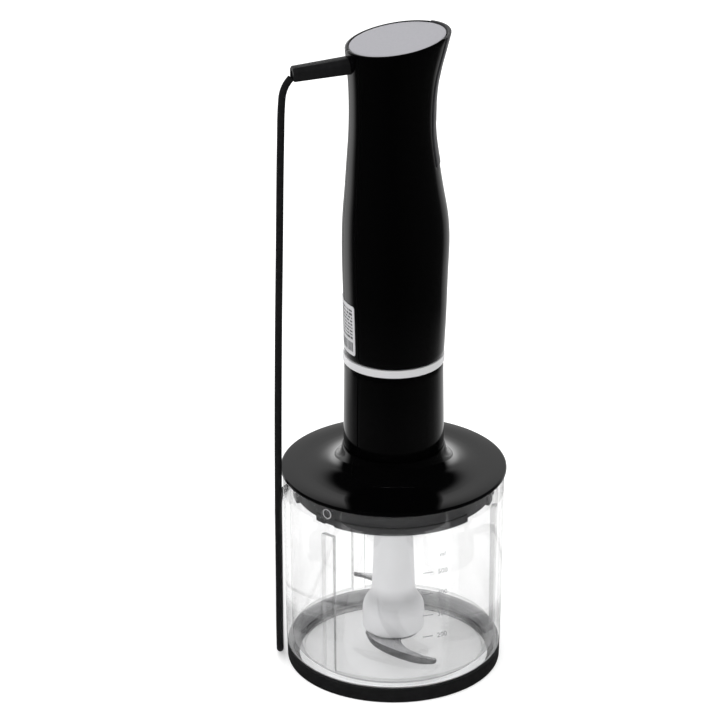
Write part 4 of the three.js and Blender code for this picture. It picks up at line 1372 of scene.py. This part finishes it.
def add_world():
    """White for what is seen directly; for reflections a dark studio with a bright far end."""
    world = bpy.data.worlds.new("studio")
    world.use_nodes = True
    tree = world.node_tree
    tree.nodes.clear()

    def ramp(value, start, stop, low, high):
        made = ranged(tree, value, low, high, start, stop)
        made.node.interpolation_type = "SMOOTHSTEP"
        return made

    def sines(edges):
        return [math.sin(math.radians(degrees)) for degrees in edges]

    direction = new_node(tree, "ShaderNodeTexCoord", output="Generated")
    level = new_node(tree, "ShaderNodeVectorMath", direction, (1.0, 1.0, 0.0), operation="MULTIPLY")
    flat = new_node(tree, "ShaderNodeVectorMath", level, operation="NORMALIZE")
    height = new_node(tree, "ShaderNodeSeparateXYZ", direction, output="Z")
    behind = along(tree, -TOWARDS_CAMERA, flat)
    dims_from, dims_to = sines(WALL_DIMS)
    wall = ramp(height, dims_to, dims_from, WALL_LIGHT.high, WALL_LIGHT.low)
    top = ramp(height, *sines(WALL_ENDS), 1.0, 0.0)
    near_side, far_side = (math.cos(math.radians(degrees)) for degrees in WALL_SIDES)
    width = ramp(behind, far_side, near_side, 0.0, 1.0)
    shape = maths(tree, "MULTIPLY", maths(tree, "MULTIPLY", wall, top), width)
    lit = maths(tree, "ADD", shape, WALL_LIGHT.elsewhere)
    glossy = new_node(tree, "ShaderNodeLightPath", output="Is Glossy Ray")
    # a mix of numbers ignores its second input, the factor of vectors
    seen = new_node(tree, "ShaderNodeMix", glossy, None, 1.0, lit)
    background = new_node(tree, "ShaderNodeBackground", (1.0, 1.0, 1.0, 1.0), seen)
    feed(tree, tree.nodes.new("ShaderNodeOutputWorld").inputs["Surface"], background)
    SCENE.world = world


# How bright the table looks in the gloss, by the angle round from the camera's side, in degrees.
NEAR_SHEEN = (
    (0, 0.03), (80, 0.06), (100, 0.12), (115, 0.26), (126, 0.42), (140, 0.65), (150, 0.8), (180, 0.9),
)
FAR_LEFT = (
    (0, 0.0), (103, 0.02), (106, 0.1), (110, 0.25), (114, 0.45), (118, 0.65), (122, 0.78), (130, 0.78),
    (144, 0.6), (164, 0.4), (180, 0.4),
)
FAR_RIGHT = (
    (0, 0.0), (106, 0.03), (118, 0.05), (122, 0.15), (127, 0.3), (138, 0.42), (153, 0.5), (180, 0.45),
)
# The near sheen gives way to the far one over 0.1 m, from this distance in metres.
SHEEN_CHANGES = Sizes(start=0.36, over=0.1)


def add_table_sheen():
    """The lit table as the glossy pieces mirror it: seen by reflections only."""
    size = 6000
    sheet = raised("table_sheen", rectangle(-size, -size, size, size), -12, -11)
    made = bpy.data.materials.new("table_sheen")
    made.use_nodes = True
    tree = made.node_tree
    tree.nodes.clear()
    place = new_node(tree, "ShaderNodeTexCoord", output="Object")
    ahead, left = along(tree, TOWARDS_CAMERA, place), along(tree, TO_THE_LEFT, place)
    angle = maths(tree, "ARCTAN2", maths(tree, "ABSOLUTE", left), ahead)
    share = maths(tree, "DIVIDE", angle, math.pi)

    def by_angle(steps):
        node = tree.nodes.new("ShaderNodeValToRGB")
        ramp = node.color_ramp
        while len(ramp.elements) < len(steps):
            ramp.elements.new(1.0)
        for element, (degrees, level) in zip(ramp.elements, steps):
            element.position = degrees / 180
            element.color = (level, level, level, 1.0)
        feed(tree, node.inputs["Fac"], share)
        return node.outputs["Color"]

    squares = [maths(tree, "MULTIPLY", side, side) for side in (ahead, left)]
    distance = maths(tree, "SQRT", maths(tree, "ADD", *squares))
    slope, start = 1 / SHEEN_CHANGES.over, -SHEEN_CHANGES.start / SHEEN_CHANGES.over
    past = maths(tree, "MAXIMUM", maths(tree, "MULTIPLY_ADD", distance, slope, start), 0.0)
    is_far = maths(tree, "SMOOTH_MIN", past, 1.0, 0.1)
    is_left = maths(tree, "GREATER_THAN", left, 0.0)
    far = mixed_colour(tree, is_left, by_angle(FAR_RIGHT), by_angle(FAR_LEFT))
    level = mixed_colour(tree, is_far, by_angle(NEAR_SHEEN), far)
    shine = new_node(tree, "ShaderNodeEmission", level)
    feed(tree, tree.nodes.new("ShaderNodeOutputMaterial").inputs["Surface"], shine)
    sheet.data.materials.append(made)
    sheet.visible_camera = sheet.visible_diffuse = False
    sheet.visible_transmission = sheet.visible_shadow = False


def add_lights():
    add_lamp("overhead", (-0.3, 0.2, 1.6), (0, 0, 0.1), (1.4, 1.4), 9.0)
    add_lamp("left_side", around(75) * 1.5 + Vector((0, 0, 0.9)), (0, 0, 0.15), (0.5, 1.2), 5.0)


# ---- The scene ----

add_camera()
mains_cord = add_cord()
tie = add_tie()
plug = add_plug()
pins = add_plug_pins()
guard = add_guard()

add_base_ring()
add_bowl()
add_marks()
add_pin_outlines()
add_hub()
add_blades()
add_lid_cover()
add_base_plate()
add_lid_seal()
add_housing("housing_left", 90.0, 270.0, 270.0 - PANEL.half_angle)
add_housing("housing_right", 270.0, 450.0, 270.0 + PANEL.half_angle)
add_sleeve()
add_alignment_mark()
add_trim_ring()
add_panel()
for button_node, button_height in BUTTONS.items():
    add_button(button_node, button_height)
add_button_pips()
add_cap()
add_label()
add_label_print()
add_screws()

for name, cad_node in frame["nodes"].items():
    painted(cad_node, SLOT_OF[name])

add_floor()
add_table_sheen()
add_world()
add_lights()
SCENE.view_settings.view_transform = "Standard"
SCENE.view_settings.look = "None"
